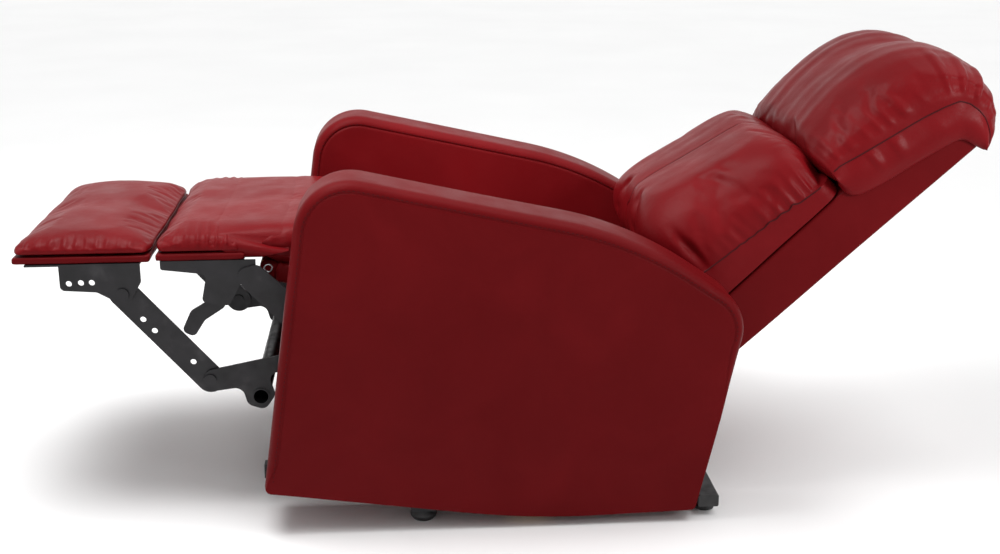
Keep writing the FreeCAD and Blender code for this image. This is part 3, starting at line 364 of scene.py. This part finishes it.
def thread_ring(middle, side, rise, radius):
    """Points round a thread."""
    points = []
    for k in range(THREAD_SIDES):
        angle = math.tau * k / THREAD_SIDES
        points.append(middle + (side * math.cos(angle) + rise * math.sin(angle)) * radius)
    return points


def thread_faces(rings, closed):
    """Faces of a thread through a row of rings."""
    faces = []
    for number in range(rings if closed else rings - 1):
        low = number * THREAD_SIDES
        high = (number + 1) % rings * THREAD_SIDES
        for k in range(THREAD_SIDES):
            after = (k + 1) % THREAD_SIDES
            faces.append((low + k, low + after, high + after, high + k))
    return faces


# Outlines with rounded corners, as closed rows of points, one inside the other.

LEAST_RADIUS = 0.004
PLAIN_SHARE = 0.25


def turn_left(x, y):
    return Vector((-y, x))


def ring(corners, inset, step):
    """Rounded outline moved inward. Every inset gives the same number of points."""
    count = len(corners)
    spots = [Vector(corner[:2]) for corner in corners]
    ways = [(spots[(n + 1) % count] - spots[n]).normalized() for n in range(count)]
    sides = [turn_left(*way) for way in ways]
    starts = []
    ends = []
    arcs = []
    for n in range(count):
        before = sides[n - 1]
        after = sides[n]
        spot = spots[n] + (before + after) * (inset / (1 + before.dot(after)))
        angle = math.acos(max(-1.0, min(1.0, before.dot(after))))
        radius = max(corners[n][2] - inset, LEAST_RADIUS)
        reach = radius * math.tan(angle / 2)
        start = spot - ways[n - 1] * reach
        centre = start + before * radius
        steps = max(3, int(corners[n][2] * angle / step))
        arc = []
        for k in range(steps + 1):
            swing = Matrix.Rotation(angle * k / steps, 2)
            arc.append(centre - (swing @ before) * radius)
        starts.append(arc[0])
        ends.append(arc[-1])
        arcs.append(arc)
    points = []
    edges = []
    for n in range(count):
        points += arcs[n]
        edges += [n - 0.5] * len(arcs[n])
        following = (n + 1) % count
        pieces = max(2, int((spots[following] - spots[n]).length / step))
        for k in range(1, pieces):
            points.append(ends[n].lerp(starts[following], k / pieces))
            edges.append(n)
    return points, edges


def slab(name, corners, rows, step, place, material, soft_edge):
    """Upholstered slab. Each row is (inset, share, depth, groove): share draws the outline in to its middle.
    soft_edge(point, edge) is 1 where the edge is rolled and sewn and 0 where it is a plain fold."""
    middle = sum((Vector(corner[:2]) for corner in corners), Vector((0, 0))) / len(corners)
    points = []
    plain, edges = ring(corners, 0.0, step)
    softness = [soft_edge(spot, edge) for spot, edge in zip(plain, edges)]
    for inset, share, depth, groove in rows:
        rolled = ring(corners, inset, step)[0]
        tight = ring(corners, inset * PLAIN_SHARE, step)[0]
        for near, far, soft in zip(tight, rolled, softness):
            spot = middle.lerp(near.lerp(far, soft), share)
            points.append(place(spot.x, spot.y, depth + groove * soft))
    count = len(points) // len(rows)
    faces = []
    for row in range(len(rows) - 1):
        for n in range(count):
            low = row * count
            following = (n + 1) % count
            faces.append((low + n, low + following, low + count + following, low + count + n))
    for row, flip in ((0, True), (len(rows) - 1, False)):
        points.append(place(middle.x, middle.y, rows[row][2]))
        for n in range(count):
            pair = (row * count + n, row * count + (n + 1) % count)
            faces.append((pair[1], pair[0], len(points) - 1) if flip else (*pair, len(points) - 1))
    return add_mesh(name, points, faces, material)


# Section of a sewn groove: distance inside the seam line and share of the full depth.
SEAM_GROOVE = ((0.0035, 0.05), (0.0016, 0.4), (0.0006, 0.9), (0.0, 1.0), (-0.0006, 0.8), (-0.0016, 0.2))
GROOVE_INNER = 0.006
GROOVE_OUTER = 0.003

# Rows of points over a face of a slab, round its edge and across its side.
FACE_ROWS = 14
EDGE_ROWS = 8
SIDE_ROWS = 8


def slab_rows(thick, rounding, seam, groove, crown):
    """Rows from the middle of one face, round the edge, to the middle of the other."""
    half = []
    face = crown + 0.001
    for k in range(1, FACE_ROWS + 1):
        share = (k / FACE_ROWS) ** 0.8
        half.append((seam + GROOVE_INNER, share * 0.999, face - crown * (1 - share ** 3), 0.0))
    for inset, depth in SEAM_GROOVE:
        half.append((seam + inset, 1.0, face, groove * depth))
    edge = seam - GROOVE_OUTER
    for k in range(EDGE_ROWS + 1):
        angle = math.radians(90 * k / EDGE_ROWS)
        roll = face + (rounding - face) * (1 - math.cos(angle))
        half.append((edge * (1 - math.sin(angle)), 1.0, roll, 0.0))
    span = thick - 2 * rounding
    across = [(0.0, 1.0, rounding + span * k / SIDE_ROWS, 0.0) for k in range(1, SIDE_ROWS)]
    mirrored = [(inset, share, thick - depth, -groove) for inset, share, depth, groove in reversed(half)]
    return half + across + mirrored


def stitches(name, line, length, gap, radius):
    """Row of short thread stitches along a line of points."""
    spots = []
    faces = []
    place = 0.0
    for start, end in zip(line, line[1:]):
        reach = (end - start).length
        way = (end - start).normalized()
        side = way.orthogonal().normalized()
        rise = way.cross(side)
        while place < reach:
            middle = start + way * place
            base = len(spots)
            spots += [middle - way * length / 2, middle + way * length / 2]
            spots += thread_ring(middle, side, rise, radius)
            for k in range(THREAD_SIDES):
                pair = (base + 2 + k, base + 2 + (k + 1) % THREAD_SIDES)
                faces.append((pair[1], pair[0], base))
                faces.append((*pair, base + 1))
            place += length + gap
        place -= reach
    return add_mesh(name, spots, faces, THREAD)


# Arms.

ARM_THICK = 0.115
ARM_OUT = 0.345
ARM_CORNERS = [
    (0.0, -0.003, 0.012), (0.435, -0.003, 1.5), (0.704, 0.041, 0.012),
    (0.733, 0.392, 0.075), (0.532, 0.490, 0.600), (0.004, 0.530, 0.088),
]
ARM_SEAM = 0.017
ARM_STITCH = 0.0140
ARM_STITCH_DEPTH = 0.0018
ARM_STEP = 0.007

# Edges are numbered from the lower front corner. From this one on, round to the front, they are sewn.
ARM_SEWN = 2.4


def arm_edge(spot, edge):
    """Rolled and sewn along the front, the top and the upper rear corner."""
    if edge >= ARM_SEWN:
        return fade(spot.y, 0.0, 0.05)
    if edge == 2:
        return fade(spot.y, 0.20, 0.33)
    return 0.0


def arm_point(side):
    def place(u, v, depth):
        return BODY @ Vector((side * (ARM_OUT - depth), u, v))

    return place


def arm_wave(point, normal):
    return 0.0008 * ripple(point.x * 4, point.y * 5, point.z * 5) - 0.0006


arm_rows = slab_rows(ARM_THICK, rounding=0.022, seam=ARM_SEAM, groove=0.0016, crown=0.002)
for side, word in SIDES:
    arm = slab("arm_upholstery_" + word, ARM_CORNERS, arm_rows, ARM_STEP, arm_point(side), SHADED_COVER, arm_edge)
    if side > 0:
        arm.data.flip_normals()
    push(arm, BODY, arm_wave)
    dress(arm, "chassis", "red_cover", "arm_cover_" + word)
    for face, deep in (("outer", ARM_STITCH_DEPTH), ("inner", ARM_THICK - ARM_STITCH_DEPTH)):
        line, edges = ring(ARM_CORNERS, ARM_STITCH, ARM_STEP)
        sewn = [spot for spot, edge in zip(line, edges) if edge >= ARM_SEWN]
        row = [arm_point(side)(spot.x, spot.y, deep) for spot in sewn]
        thread = stitches("arm_stitches_%s_%s" % (face, word), row, length=0.0048, gap=0.0026, radius=0.0007)
        dress(thread, "chassis", "red_cover")

# Back shell and the flap at its lower end.

SHELL_HALF = 0.2214
SHELL_LOW = 0.025
SHELL_HIGH = 0.693
SHELL_CORNERS = [
    (-SHELL_HALF, SHELL_LOW, 0.012), (SHELL_HALF, SHELL_LOW, 0.012),
    (SHELL_HALF, SHELL_HIGH, 0.016), (-SHELL_HALF, SHELL_HIGH, 0.016),
]
SHELL_FRONT = 0.025
SHELL_REAR = 0.062
SHELL_TAPER = 0.018
SHELL_THICK = SHELL_FRONT + SHELL_REAR


def shell_rear(z):
    """Depth of the rear face, which grows towards the top."""
    return SHELL_REAR + SHELL_TAPER * (z - SHELL_LOW) / (SHELL_HIGH - SHELL_LOW)


def shell_point(x, z, depth):
    rear = shell_rear(z)
    return BACK @ Vector((x, rear - depth / SHELL_THICK * (rear + SHELL_FRONT), z))


def shell_edge(spot, edge):
    """A little over half rolled, all the way round."""
    return 0.6


shell_rows = slab_rows(SHELL_THICK, rounding=0.008, seam=0.010, groove=0.0012, crown=0.001)
shell = slab("back_shell_cover", SHELL_CORNERS, shell_rows, 0.008, shell_point, SHADED_COVER, shell_edge)
shell.data.flip_normals()


def shell_wave(point, normal):
    return 0.0012 * ripple(point.x * 7, point.y * 9, point.z * 5) + 0.0002


push(shell, BACK, shell_wave)
dress(shell, "back", "red_cover", "back_shell")

flap = soft_copy("back_flap", "back_flap_cover", 0.003, SHADED_COVER, 2)


def flap_wave(point, normal):
    return 0.0012 * ripple(point.x * 26, point.y * 10, point.z * 12) - 0.0006


push(flap, BACK, flap_wave)
dress(flap, "back", "red_cover", "back_flap")

# Cushions. The functions that fold them give heights in metres.

CORD_STEPS = 12
CORD_SMOOTHINGS = 3


def folds(along, away, pitch, reach, seed):
    """Uneven folds that leave a seam at right angles and die out with the distance from it."""
    drift = ripple(along * 14, seed, away * 6)
    beat = math.sin(math.tau * along / pitch + 4 * drift)
    strength = 0.55 + 0.6 * ripple(along * 8, seed + 5, 0.4)
    return max(beat, -0.2) * max(strength, 0.1) * (1 - fade(away, 0.0, reach))


def bell(value, width):
    return math.exp(-((value / width) ** 2))


def skin_of(piece):
    """Surface of a piece, to find points on."""
    return BVHTree.FromPolygons(points_of(piece.data), [face.vertices[:] for face in piece.data.polygons])


def seam_cord(name, piece, line, radius):
    """Sewn seam: a thin cord half sunk into a piece of the back, along a line laid on its surface."""
    skin = skin_of(piece)
    spots = []
    for start, end in zip(line, line[1:]):
        for k in range(CORD_STEPS):
            spots.append(skin.find_nearest(start.lerp(end, k / CORD_STEPS))[0])
    for smoothing in range(CORD_SMOOTHINGS):
        inner = [(a + b * 2 + c) / 4 for a, b, c in zip(spots, spots[1:], spots[2:])]
        spots = [spots[0]] + inner + [spots[-1]]
    points = []
    for number, spot in enumerate(spots):
        way = (spots[min(number + 1, len(spots) - 1)] - spots[max(number - 1, 0)]).normalized()
        side = way.cross(Vector((0.3, 0.5, 0.8))).normalized()
        points += thread_ring(spot, side, way.cross(side), radius)
    cord = add_mesh(name, points, thread_faces(len(spots), False), THREAD)
    dress(cord, "back", "red_cushion")


def tube_of(name, loops, columns, material):
    """Closed mesh through a row of loops. A loop has the given number of points over the top, some down one
    side, as many as the top along the foot and the rest up the other side."""
    size = len(loops[0])
    side = (size - 2 * columns) // 2
    faces = []
    for number in range(len(loops) - 1):
        low = number * size
        for k in range(size):
            after = (k + 1) % size
            faces.append((low + k, low + after, low + size + after, low + size + k))
    for low, flip in ((0, True), ((len(loops) - 1) * size, False)):
        foot = low + columns + side
        last = foot + columns - 1
        caps = [(low + k, low + k + 1, last - 1 - k, last - k) for k in range(columns - 1)]
        caps.append(tuple(range(low + columns - 1, foot + 1)))
        caps.append((*range(last, low + size), low))
        faces += [tuple(reversed(cap)) for cap in caps] if flip else caps
    return add_mesh(name, [point for loop in loops for point in loop], faces, material)


def spread_row(count):
    """Places from -1 to 1, closer together towards the ends."""
    return [math.sin(math.pi * (k / (count - 1) - 0.5)) for k in range(count)]


# Back cushion: a boxed cushion with a flat band round its side and a thin seam down its middle.

BACK_LOW = 0.153
BACK_HIGH = 0.464
BACK_HALF = 0.2225
BACK_CORNER = 0.030
BACK_LOOPS = 67
PILLOW_BASE = -0.0266
COLUMNS = 91
BAND_STEPS = 6


def band_seam(z):
    """Height of the seam between the band and the top of the back cushion."""
    return -0.080 + 0.026 * (z - 0.241) / 0.216


def back_top(z):
    return -0.213 + 0.26 * (z - 0.20)


def back_loop(along):
    """One loop across the cushion, at a place between -1 at its lower end and 1 at its upper end."""
    z = (BACK_LOW + BACK_HIGH) / 2 + along * (BACK_HIGH - BACK_LOW) / 2
    into_corner = BACK_CORNER - min(max(min(z - BACK_LOW, BACK_HIGH - z), 0.0), BACK_CORNER)
    half = BACK_HALF - BACK_CORNER + math.sqrt(BACK_CORNER ** 2 - into_corner ** 2)
    seam = band_seam(z)
    ends = abs(along) ** (8 if along > 0 else 5)
    loop = []
    for across in spread_row(COLUMNS):
        rise = (seam - back_top(z)) * max(1 - abs(across) ** 5 - ends, 0.0) ** 0.45
        lean = rise * (0.20 * fade(z, 0.30, 0.45) - 0.06 * (1 - fade(z, 0.18, 0.28)))
        loop.append((half * across, seam - rise, z + lean))
    for k in range(1, BAND_STEPS):
        loop.append((half, seam + (PILLOW_BASE - seam) * k / BAND_STEPS, z))
    for across in spread_row(COLUMNS):
        loop.append((-half * across, PILLOW_BASE, z))
    for k in range(1, BAND_STEPS):
        loop.append((-half, PILLOW_BASE + (seam - PILLOW_BASE) * k / BAND_STEPS, z))
    return [BACK @ Vector(point) for point in loop]


def back_held(point):
    return point.y > band_seam(point.z) - 0.002


back_loops = [back_loop(along) for along in spread_row(BACK_LOOPS)]
back_pad = tube_of("back_pillow", back_loops, COLUMNS, CUSHION)
swell(back_pad, BACK, back_held, slack=0.012, cap=0.007)
subdivide(back_pad)


def back_folds(point, normal):
    """Puckers along the band seam, gathers under the head cushion, a pinch at the lower end, a hollow along
    the middle seam, and slack leather on the top and the band."""
    over = band_seam(point.z) - point.y
    beside = fade(abs(point.x), 0.12, 0.20)
    upper = 0.30 + 0.70 * fade(point.z, 0.30, 0.36)
    puckers = 0.0040 * folds(point.z, over, 0.020, 0.075, 2.0) * beside * upper * fade(over, 0.0, 0.006)
    head_end = 0.0025 * folds(point.x, 0.47 - point.z, 0.026, 0.05, 4.0) * fade(over, 0.0, 0.03)
    low_end = bell(point.z - 0.218, 0.008) * bell(point.y + 0.125, 0.030) * fade(abs(point.x), 0.15, 0.20)
    middle = (0.0010 * bell(point.x, 0.003) + 0.0018 * bell(point.x, 0.030)) * fade(over, 0.01, 0.06)
    soft = 0.0020 * ripple(point.x * 9, point.y * 5, point.z * 5)
    lengthwise = 0.0010 * ripple(point.x * 34, 1.5, point.z * 6)
    band = 0.0010 * ripple(point.y * 40, point.x, point.z * 14) * fade(-over, 0.004, 0.015)
    return puckers + (soft + lengthwise) * fade(over, 0.0, 0.03) + band - head_end - 0.010 * low_end - middle


push(back_pad, BACK, back_folds)
dress(back_pad, "back", "red_cushion", "back_cushion")
middle_heights = [0.165 + 0.03 * k for k in range(10)]
back_line = [BACK @ Vector((0, back_top(z), z)) for z in middle_heights]
seam_cord("back_middle_seam", back_pad, back_line, 0.0007)
band_heights = [0.17 + 0.028 * k for k in range(11)]
for side, word in SIDES:
    line = [BACK @ Vector((side * 0.24, band_seam(z), z)) for z in band_heights]
    seam_cord("back_band_seam_" + word, back_pad, line, 0.0013)

# Head cushion, wrapped over the top of the back, with a band that laps the sides of the shell. Each station
# is the top, the seam, the lower edge of the band and the side that lies on the shell, from the lower end
# round to the rear, as (y, z) in the frame of the back.

HEAD_STATIONS = [
    ((-0.064, 0.468), (-0.060, 0.470), (-0.040, 0.467), (-0.0266, 0.472)),
    ((-0.098, 0.463), (-0.064, 0.474), (-0.018, 0.469), (-0.0266, 0.476)),
    ((-0.114, 0.480), (-0.064, 0.486), (-0.003, 0.479), (-0.0266, 0.488)),
    ((-0.121, 0.517), (-0.055, 0.520), (0.011, 0.515), (-0.0266, 0.520)),
    ((-0.125, 0.558), (-0.046, 0.560), (0.020, 0.555), (-0.0266, 0.560)),
    ((-0.125, 0.600), (-0.037, 0.600), (0.029, 0.597), (-0.0266, 0.600)),
    ((-0.122, 0.645), (-0.028, 0.638), (0.037, 0.635), (-0.0266, 0.640)),
    ((-0.110, 0.688), (-0.018, 0.672), (0.043, 0.655), (-0.0266, 0.680)),
    ((-0.086, 0.724), (-0.008, 0.696), (0.048, 0.661), (-0.0266, 0.6946)),
    ((-0.050, 0.750), (0.008, 0.706), (0.053, 0.664), (-0.006, 0.6946)),
    ((-0.014, 0.762), (0.026, 0.710), (0.058, 0.666), (0.018, 0.6946)),
    ((0.020, 0.762), (0.042, 0.709), (0.064, 0.668), (0.040, 0.6946)),
    ((0.050, 0.751), (0.056, 0.704), (0.070, 0.670), (0.060, 0.6946)),
    ((0.072, 0.732), (0.069, 0.698), (0.076, 0.672), (0.075, 0.6946)),
    ((0.088, 0.706), (0.081, 0.688), (0.081, 0.674), (0.0835, 0.690)),
    ((0.092, 0.680), (0.087, 0.678), (0.085, 0.676), (0.0845, 0.680)),
]
HEAD_HALF = 0.2310
HEAD_BULGE = 0.008
HEAD_TUCK = 0.004
HEAD_STEPS = 6
INNER_STEPS = 4
SHELL_SIDE = 0.2218

# Straight part of the seam: its lower end as (y, z) and how fast y grows with z.
HEAD_SEAM_Y = -0.064
HEAD_SEAM_Z = 0.486
HEAD_SEAM_SLOPE = 0.237


def between(stations, place):
    """Smooth curve through the stations: place 2.5 is half way from station 2 to station 3."""
    first = min(int(place), len(stations) - 2)
    share = place - first
    near = [Vector(stations[min(max(first + n, 0), len(stations) - 1)]) for n in (-1, 0, 1, 2)]
    slope_in = (near[2] - near[0]) / 2
    slope_out = (near[3] - near[1]) / 2
    square = share * share
    cube = square * share
    start = near[1] * (2 * cube - 3 * square + 1) + slope_in * (cube - 2 * square + share)
    return start + near[2] * (3 * square - 2 * cube) + slope_out * (cube - square)


def band_half(share):
    """Half width of the band, from the seam at 0 over its bulge to its tucked edge at 1."""
    return HEAD_HALF + HEAD_BULGE * math.sin(math.pi * share) - HEAD_TUCK * share ** 2


def head_loop(place):
    """One loop round the cushion: over the top, down one band, along the shell and up the other band."""
    top, seam, edge, inner = [between([station[n] for station in HEAD_STATIONS], place) for n in range(4)]
    loop = []
    for across in spread_row(COLUMNS):
        loop.append((HEAD_HALF * across, seam.lerp(top, max(1 - abs(across) ** 4, 0.0) ** 0.45)))
    shares = [k / BAND_STEPS for k in range(1, BAND_STEPS + 1)]
    down = [(band_half(share), seam.lerp(edge, share)) for share in shares]
    down += [(SHELL_SIDE, edge.lerp(inner, k / INNER_STEPS)) for k in range(INNER_STEPS)]
    foot = [(-SHELL_SIDE * across, inner) for across in spread_row(COLUMNS)]
    loop += down + foot + [(-x, spot) for x, spot in reversed(down)]
    return [BACK @ Vector((x, spot.x, spot.y)) for x, spot in loop]


head_count = (len(HEAD_STATIONS) - 1) * HEAD_STEPS
head_loops = [head_loop(n / HEAD_STEPS) for n in range(head_count + 1)]
head_pad = tube_of("head_pillow", head_loops, COLUMNS, CUSHION)
head_seam = [spot[1] for spot in HEAD_STATIONS]


def seam_gap(point):
    """How far a point of the head cushion stands off its seam line, in the plane of its side."""
    return min((Vector((point.y, point.z)) - Vector(spot)).length for spot in head_seam)


def head_held(point):
    """The two bands and the side that lies on the shell."""
    return abs(point.x) > HEAD_HALF - 0.012 or (point.y > -0.030 and point.z < 0.698)


swell(head_pad, BACK, head_held, slack=0.012, cap=0.006)
subdivide(head_pad)


def head_folds(point, normal):
    """Creases along the top with a dip in the middle, pleats round the upper end, gathers over the seam,
    flutes at the rear end, and tucks and slack leather on the band."""
    high = fade(seam_gap(point), 0.012, 0.045)
    dip = 0.012 * bell(point.x, 0.040) * fade(point.z, 0.56, 0.72) * high
    drift = ripple(2.0, point.y * 5, point.z * 6)
    lengthwise = 0.0022 * ripple(point.x * 36 + 1.4 * drift, 5.0, point.z * 4) * high
    beside = fade(abs(point.x), 0.11, 0.19)
    outer = fade(HEAD_HALF + 0.0005 - abs(point.x), 0.0005, 0.004)
    round_end = math.atan2(point.z - 0.66, -point.y + 0.03) * 0.09
    pleats = 0.0095 * folds(round_end, 0.0, 0.034, 1.0, 6.0) * fade(point.z, 0.67, 0.72) * beside * outer
    pleats *= 1 - 0.75 * fade(point.y, 0.0, 0.045)
    gathers = 0.0026 * folds(point.z, 0.0, 0.027, 1.0, 8.0) * beside * outer
    gathers *= (1 - fade(point.z, 0.62, 0.68)) * (1 - fade(seam_gap(point), 0.03, 0.07))
    end = 0.0018 * folds(point.x, 0.0, 0.034, 1.0, 3.0) * fade(point.y, 0.02, 0.07) * high
    below = point.y - HEAD_SEAM_Y - HEAD_SEAM_SLOPE * (point.z - HEAD_SEAM_Z)
    tucks = 0.0045 * folds(point.z, max(below, 0.0), 0.038, 0.060, 11.0) * fade(below, 0.0, 0.010)
    tucks *= (1 - fade(point.z, 0.63, 0.69)) * fade(ripple(point.z * 11, 7.0, 0.3), -0.15, 0.30)
    side = (0.0034 * ripple(point.y * 26, 3.0, point.z * 20) + tucks) * (1 - outer)
    return lengthwise + pleats + gathers + end + side - dip


push(head_pad, BACK, head_folds)
dress(head_pad, "back", "red_cushion", "head_cushion")
for side, word in SIDES:
    line = [BACK @ Vector((side * HEAD_HALF, spot[0], spot[1])) for spot in head_seam[1:-1]]
    seam_cord("head_seam_" + word, head_pad, line, 0.0012)

# Seat cushion.

seat_pad = soft_copy("seat_cushion", "seat_pad", 0.006, CUSHION, 5)
push(seat_pad, SEAT, lambda point, normal: -0.006)
swell(seat_pad, SEAT, lambda point: point.z < 0.006, slack=0.015, cap=0.012)
subdivide(seat_pad)


def seat_folds(point, normal):
    """Tucks along the sides, slanted slack on the top, and the rear pressed down under the back cushion."""
    beside = folds(point.y, 0.222 - abs(point.x), 0.034, 0.07, 1.0)
    slanted = ripple(point.x * 12 + point.y * 9, point.y * 4, 3.0)
    rear = 0.016 * fade(point.y, 0.43, 0.55) * fade(point.z, 0.01, 0.04)
    return 0.0016 * beside + 0.0016 * slanted * fade(point.z, 0.03, 0.05) - rear


push(seat_pad, SEAT, seat_folds)
dress(seat_pad, "chassis", "red_cushion", "seat_cushion")

# Leg rest and foot rest: a covered board and a pad on each. A row gives the pad's name, node, frame and
# body, the height of its base, and the depth, reach and pitch of the tucks along its sides.

PADS = (
    ("foot_pad", "foot_cushion", FOOT, "foot_rest", 0.0635, 0.0022, 0.035, 0.019),
    ("leg_pad", "leg_cushion", LEG, "leg_rest", 0.0355, 0.0036, 0.085, 0.017),
)
pads = {}
for name, node, local, body, base, depth, reach, pitch in PADS:
    pad = soft_copy(node, name, 0.0045, CUSHION, 5)
    pads[name] = pad
    push(pad, local, lambda point, normal: -0.002)
    swell(pad, local, lambda point: point.z < base + 0.011, slack=0.01, cap=0.006)
    subdivide(pad)

    def pad_folds(point, normal):
        side = 0.225 - abs(point.x)
        rear = 0.25 + 0.75 * fade(point.y, -0.12, -0.05) if name == "leg_pad" else 1.0
        tucks = depth * folds(point.y, side, pitch, reach, 1.5) * rear
        slanted = depth * 0.35 * ripple(point.x * 13 - point.y * 16, point.y * 5, 1.0) * rear
        return (tucks + slanted) * fade(point.z - base, 0.004, 0.016)

    push(pad, local, pad_folds)
    dress(pad, body, "red_cushion", node)

for name, node, local, body in (
    ("foot_board_cover", "foot_board", FOOT, "foot_rest"),
    ("leg_board_cover", "leg_board", LEG, "leg_rest"),
):
    cover = soft_copy(node, name, 0.004, SHADED_COVER, 1)
    push(cover, local, lambda point, normal: 0.0005 * ripple(*(point * 30)) - 0.0004)
    dress(cover, body, "red_board", node)

# Cover that carries the leg pad on into the seat, across the place where the leg rest folds.

BRIDGE_FRONT = -0.492
BRIDGE_REAR = -0.366
BRIDGE_HALF = 0.2205
BRIDGE_FOOT = 0.434
BRIDGE_FOOT_HALF = 0.020
BRIDGE_LEAST = BRIDGE_FOOT + 0.012
BRIDGE_COLUMNS = 41
BRIDGE_LOOPS = 111
OVERHEAD = 0.7
leg_skin = skin_of(pads["leg_pad"])
seat_skin = skin_of(seat_pad)


def height_on(skin, x, y):
    """Height of the top of a pad at a place, and at least what the cover needs."""
    found = skin.ray_cast(Vector((x, y, OVERHEAD)), Vector((0, 0, -1)))[0]
    return max(found.z, BRIDGE_LEAST) if found else BRIDGE_LEAST


def bridge_loop(x):
    """Section of the cover: from the top of the leg pad to the top of the seat and back underneath."""
    front = height_on(leg_skin, x, BRIDGE_FRONT)
    rear = height_on(seat_skin, x, BRIDGE_REAR)
    loop = []
    for place in spread_row(BRIDGE_COLUMNS):
        share = (place + 1) / 2
        y = BRIDGE_FRONT + (BRIDGE_REAR - BRIDGE_FRONT) * share
        sunk = 0.003 * (2 * abs(share - 0.5)) ** 6
        wave = 0.0012 * ripple(x * 20 + y * 16, y * 9, 2.5) * (1 - (2 * share - 1) ** 2)
        loop.append(Vector((x, y, front + (rear - front) * fade(share, 0.0, 1.0) + wave - sunk)))
    for place in spread_row(BRIDGE_COLUMNS):
        y = (BRIDGE_FRONT + BRIDGE_REAR) / 2 - place * BRIDGE_FOOT_HALF
        loop.append(Vector((x, y, BRIDGE_FOOT)))
    return loop


bridge_loops = [bridge_loop(BRIDGE_HALF * across) for across in spread_row(BRIDGE_LOOPS)]
bridge = tube_of("leg_to_seat_cover", bridge_loops, BRIDGE_COLUMNS, CUSHION)
bridge.data.flip_normals()
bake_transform(bridge)

# Covers over the timber rails of the seat.

for node, name in (("seat_front_rail", "seat_front_cover"), ("seat_side_rails", "seat_side_cover")):
    rail_cover = soft_copy(node, name, 0.004, SHADED_COVER, 1)
    push(rail_cover, SEAT, lambda point, normal: 0.0024 + 0.0006 * ripple(*(point * 25)))
    dress(rail_cover, "chassis", "red_cover")

# Ring of the zip that closes the seat cover, at its front corner.

RING_MIDDLE = Vector((0.214, -0.400, 0.4125))
RING_RADIUS = 0.0055
RING_STRETCH = 1.25
RING_WIRE = 0.0012
RING_STEPS = 20
ring_points = []
for k in range(RING_STEPS):
    angle = math.tau * k / RING_STEPS
    out = Vector((0.0, math.cos(angle), math.sin(angle)))
    middle = RING_MIDDLE + out * RING_RADIUS * (RING_STRETCH if out.z > 0 else 1.0)
    ring_points += thread_ring(middle, out, Vector((1, 0, 0)), RING_WIRE)
zip_ring = add_mesh("zip_ring", ring_points, thread_faces(RING_STEPS, True), BRIGHT)
dress(zip_ring, "chassis", "bright_steel")

# Floor, light and camera.

FLOOR_HALF = 12.0
floor_finish = Finish("pale_floor")
floor_finish.colours(floor_finish.noise(1.5, 3.0), (0.3, srgb(250, 250, 250)), (0.7, srgb(254, 254, 254)))
floor_finish.rough(floor_finish.spread(floor_finish.noise(8.0, 2.0), 0.55, 0.65))
FLOOR_POINTS = [(-FLOOR_HALF, -FLOOR_HALF, 0), (FLOOR_HALF, -FLOOR_HALF, 0),
                (FLOOR_HALF, FLOOR_HALF, 0), (-FLOOR_HALF, FLOOR_HALF, 0)]
floor = add_mesh("studio_floor", FLOOR_POINTS, [(0, 1, 2, 3)], floor_finish.material)

# The world lights the object softly and is plain white where it is seen or mirrored.

AMBIENT = 0.5
world = bpy.data.worlds.new("studio")
scene.world = world
world.use_nodes = True
world_nodes = world.node_tree.nodes
world_links = world.node_tree.links
background = world_nodes["Background"]
background.inputs["Color"].default_value = (1.0, 1.0, 1.0, 1.0)
paths = world_nodes.new("ShaderNodeLightPath")
seen = paths.outputs["Is Camera Ray"]
for ray in ("Is Glossy Ray", "Is Transmission Ray"):
    either = world_nodes.new("ShaderNodeMath")
    either.operation = "MAXIMUM"
    world_links.new(seen, either.inputs[0])
    world_links.new(paths.outputs[ray], either.inputs[1])
    seen = either.outputs["Value"]
strength = world_nodes.new("ShaderNodeMapRange")
strength.inputs["To Min"].default_value = AMBIENT
strength.inputs["To Max"].default_value = 1.0
world_links.new(seen, strength.inputs["Value"])
world_links.new(strength.outputs["Result"], background.inputs["Strength"])


def lamp(name, kind, place, aim, power):
    data = bpy.data.lights.new(name, kind)
    data.energy = power
    item = bpy.data.objects.new(name, data)
    item.location = place
    item.rotation_mode = "QUATERNION"
    item.rotation_quaternion = (Vector(aim) - Vector(place)).to_track_quat("-Z", "Y")
    scene.collection.objects.link(item)
    return data


lamp("top", "SUN", (0.15, 1.0, 3.0), (0.0, 0.0, 0.4), 1.5).angle = math.radians(50)
lamp("key", "AREA", (0.2, -0.9, 2.3), (0.0, -0.7, 0.4), 32).size = 1.0
# Spots as name, place, aim, power and width in degrees: one on the side of the head, one on the far arm.
SPOTS = (
    ("head", (1.6, 1.6, 1.3), (0.2, 0.66, 0.60), 110, 34),
    ("far_arm", (1.3, -0.9, 1.9), (-0.23, -0.06, 0.52), 190, 28),
)
for name, place, aim, power, width in SPOTS:
    spot = lamp(name, "SPOT", place, aim, power)
    spot.spot_size = math.radians(width)
    spot.spot_blend = 1.0
    spot.shadow_soft_size = 0.3

CAMERA_PLACE = (2.3454, -0.192, 1.0188)
LENS = 48.9
YAW = 0.0783
PITCH = 0.2862
camera_data = bpy.data.cameras.new("camera")
camera_data.sensor_width = 36
camera_data.lens = LENS
camera = bpy.data.objects.new("camera", camera_data)
camera.location = CAMERA_PLACE
ahead = Vector((-math.cos(YAW) * math.cos(PITCH), math.sin(YAW) * math.cos(PITCH), -math.sin(PITCH)))
camera.rotation_mode = "QUATERNION"
camera.rotation_quaternion = ahead.to_track_quat("-Z", "Y")
scene.collection.objects.link(camera)
scene.camera = camera
scene.view_settings.view_transform = "Standard"
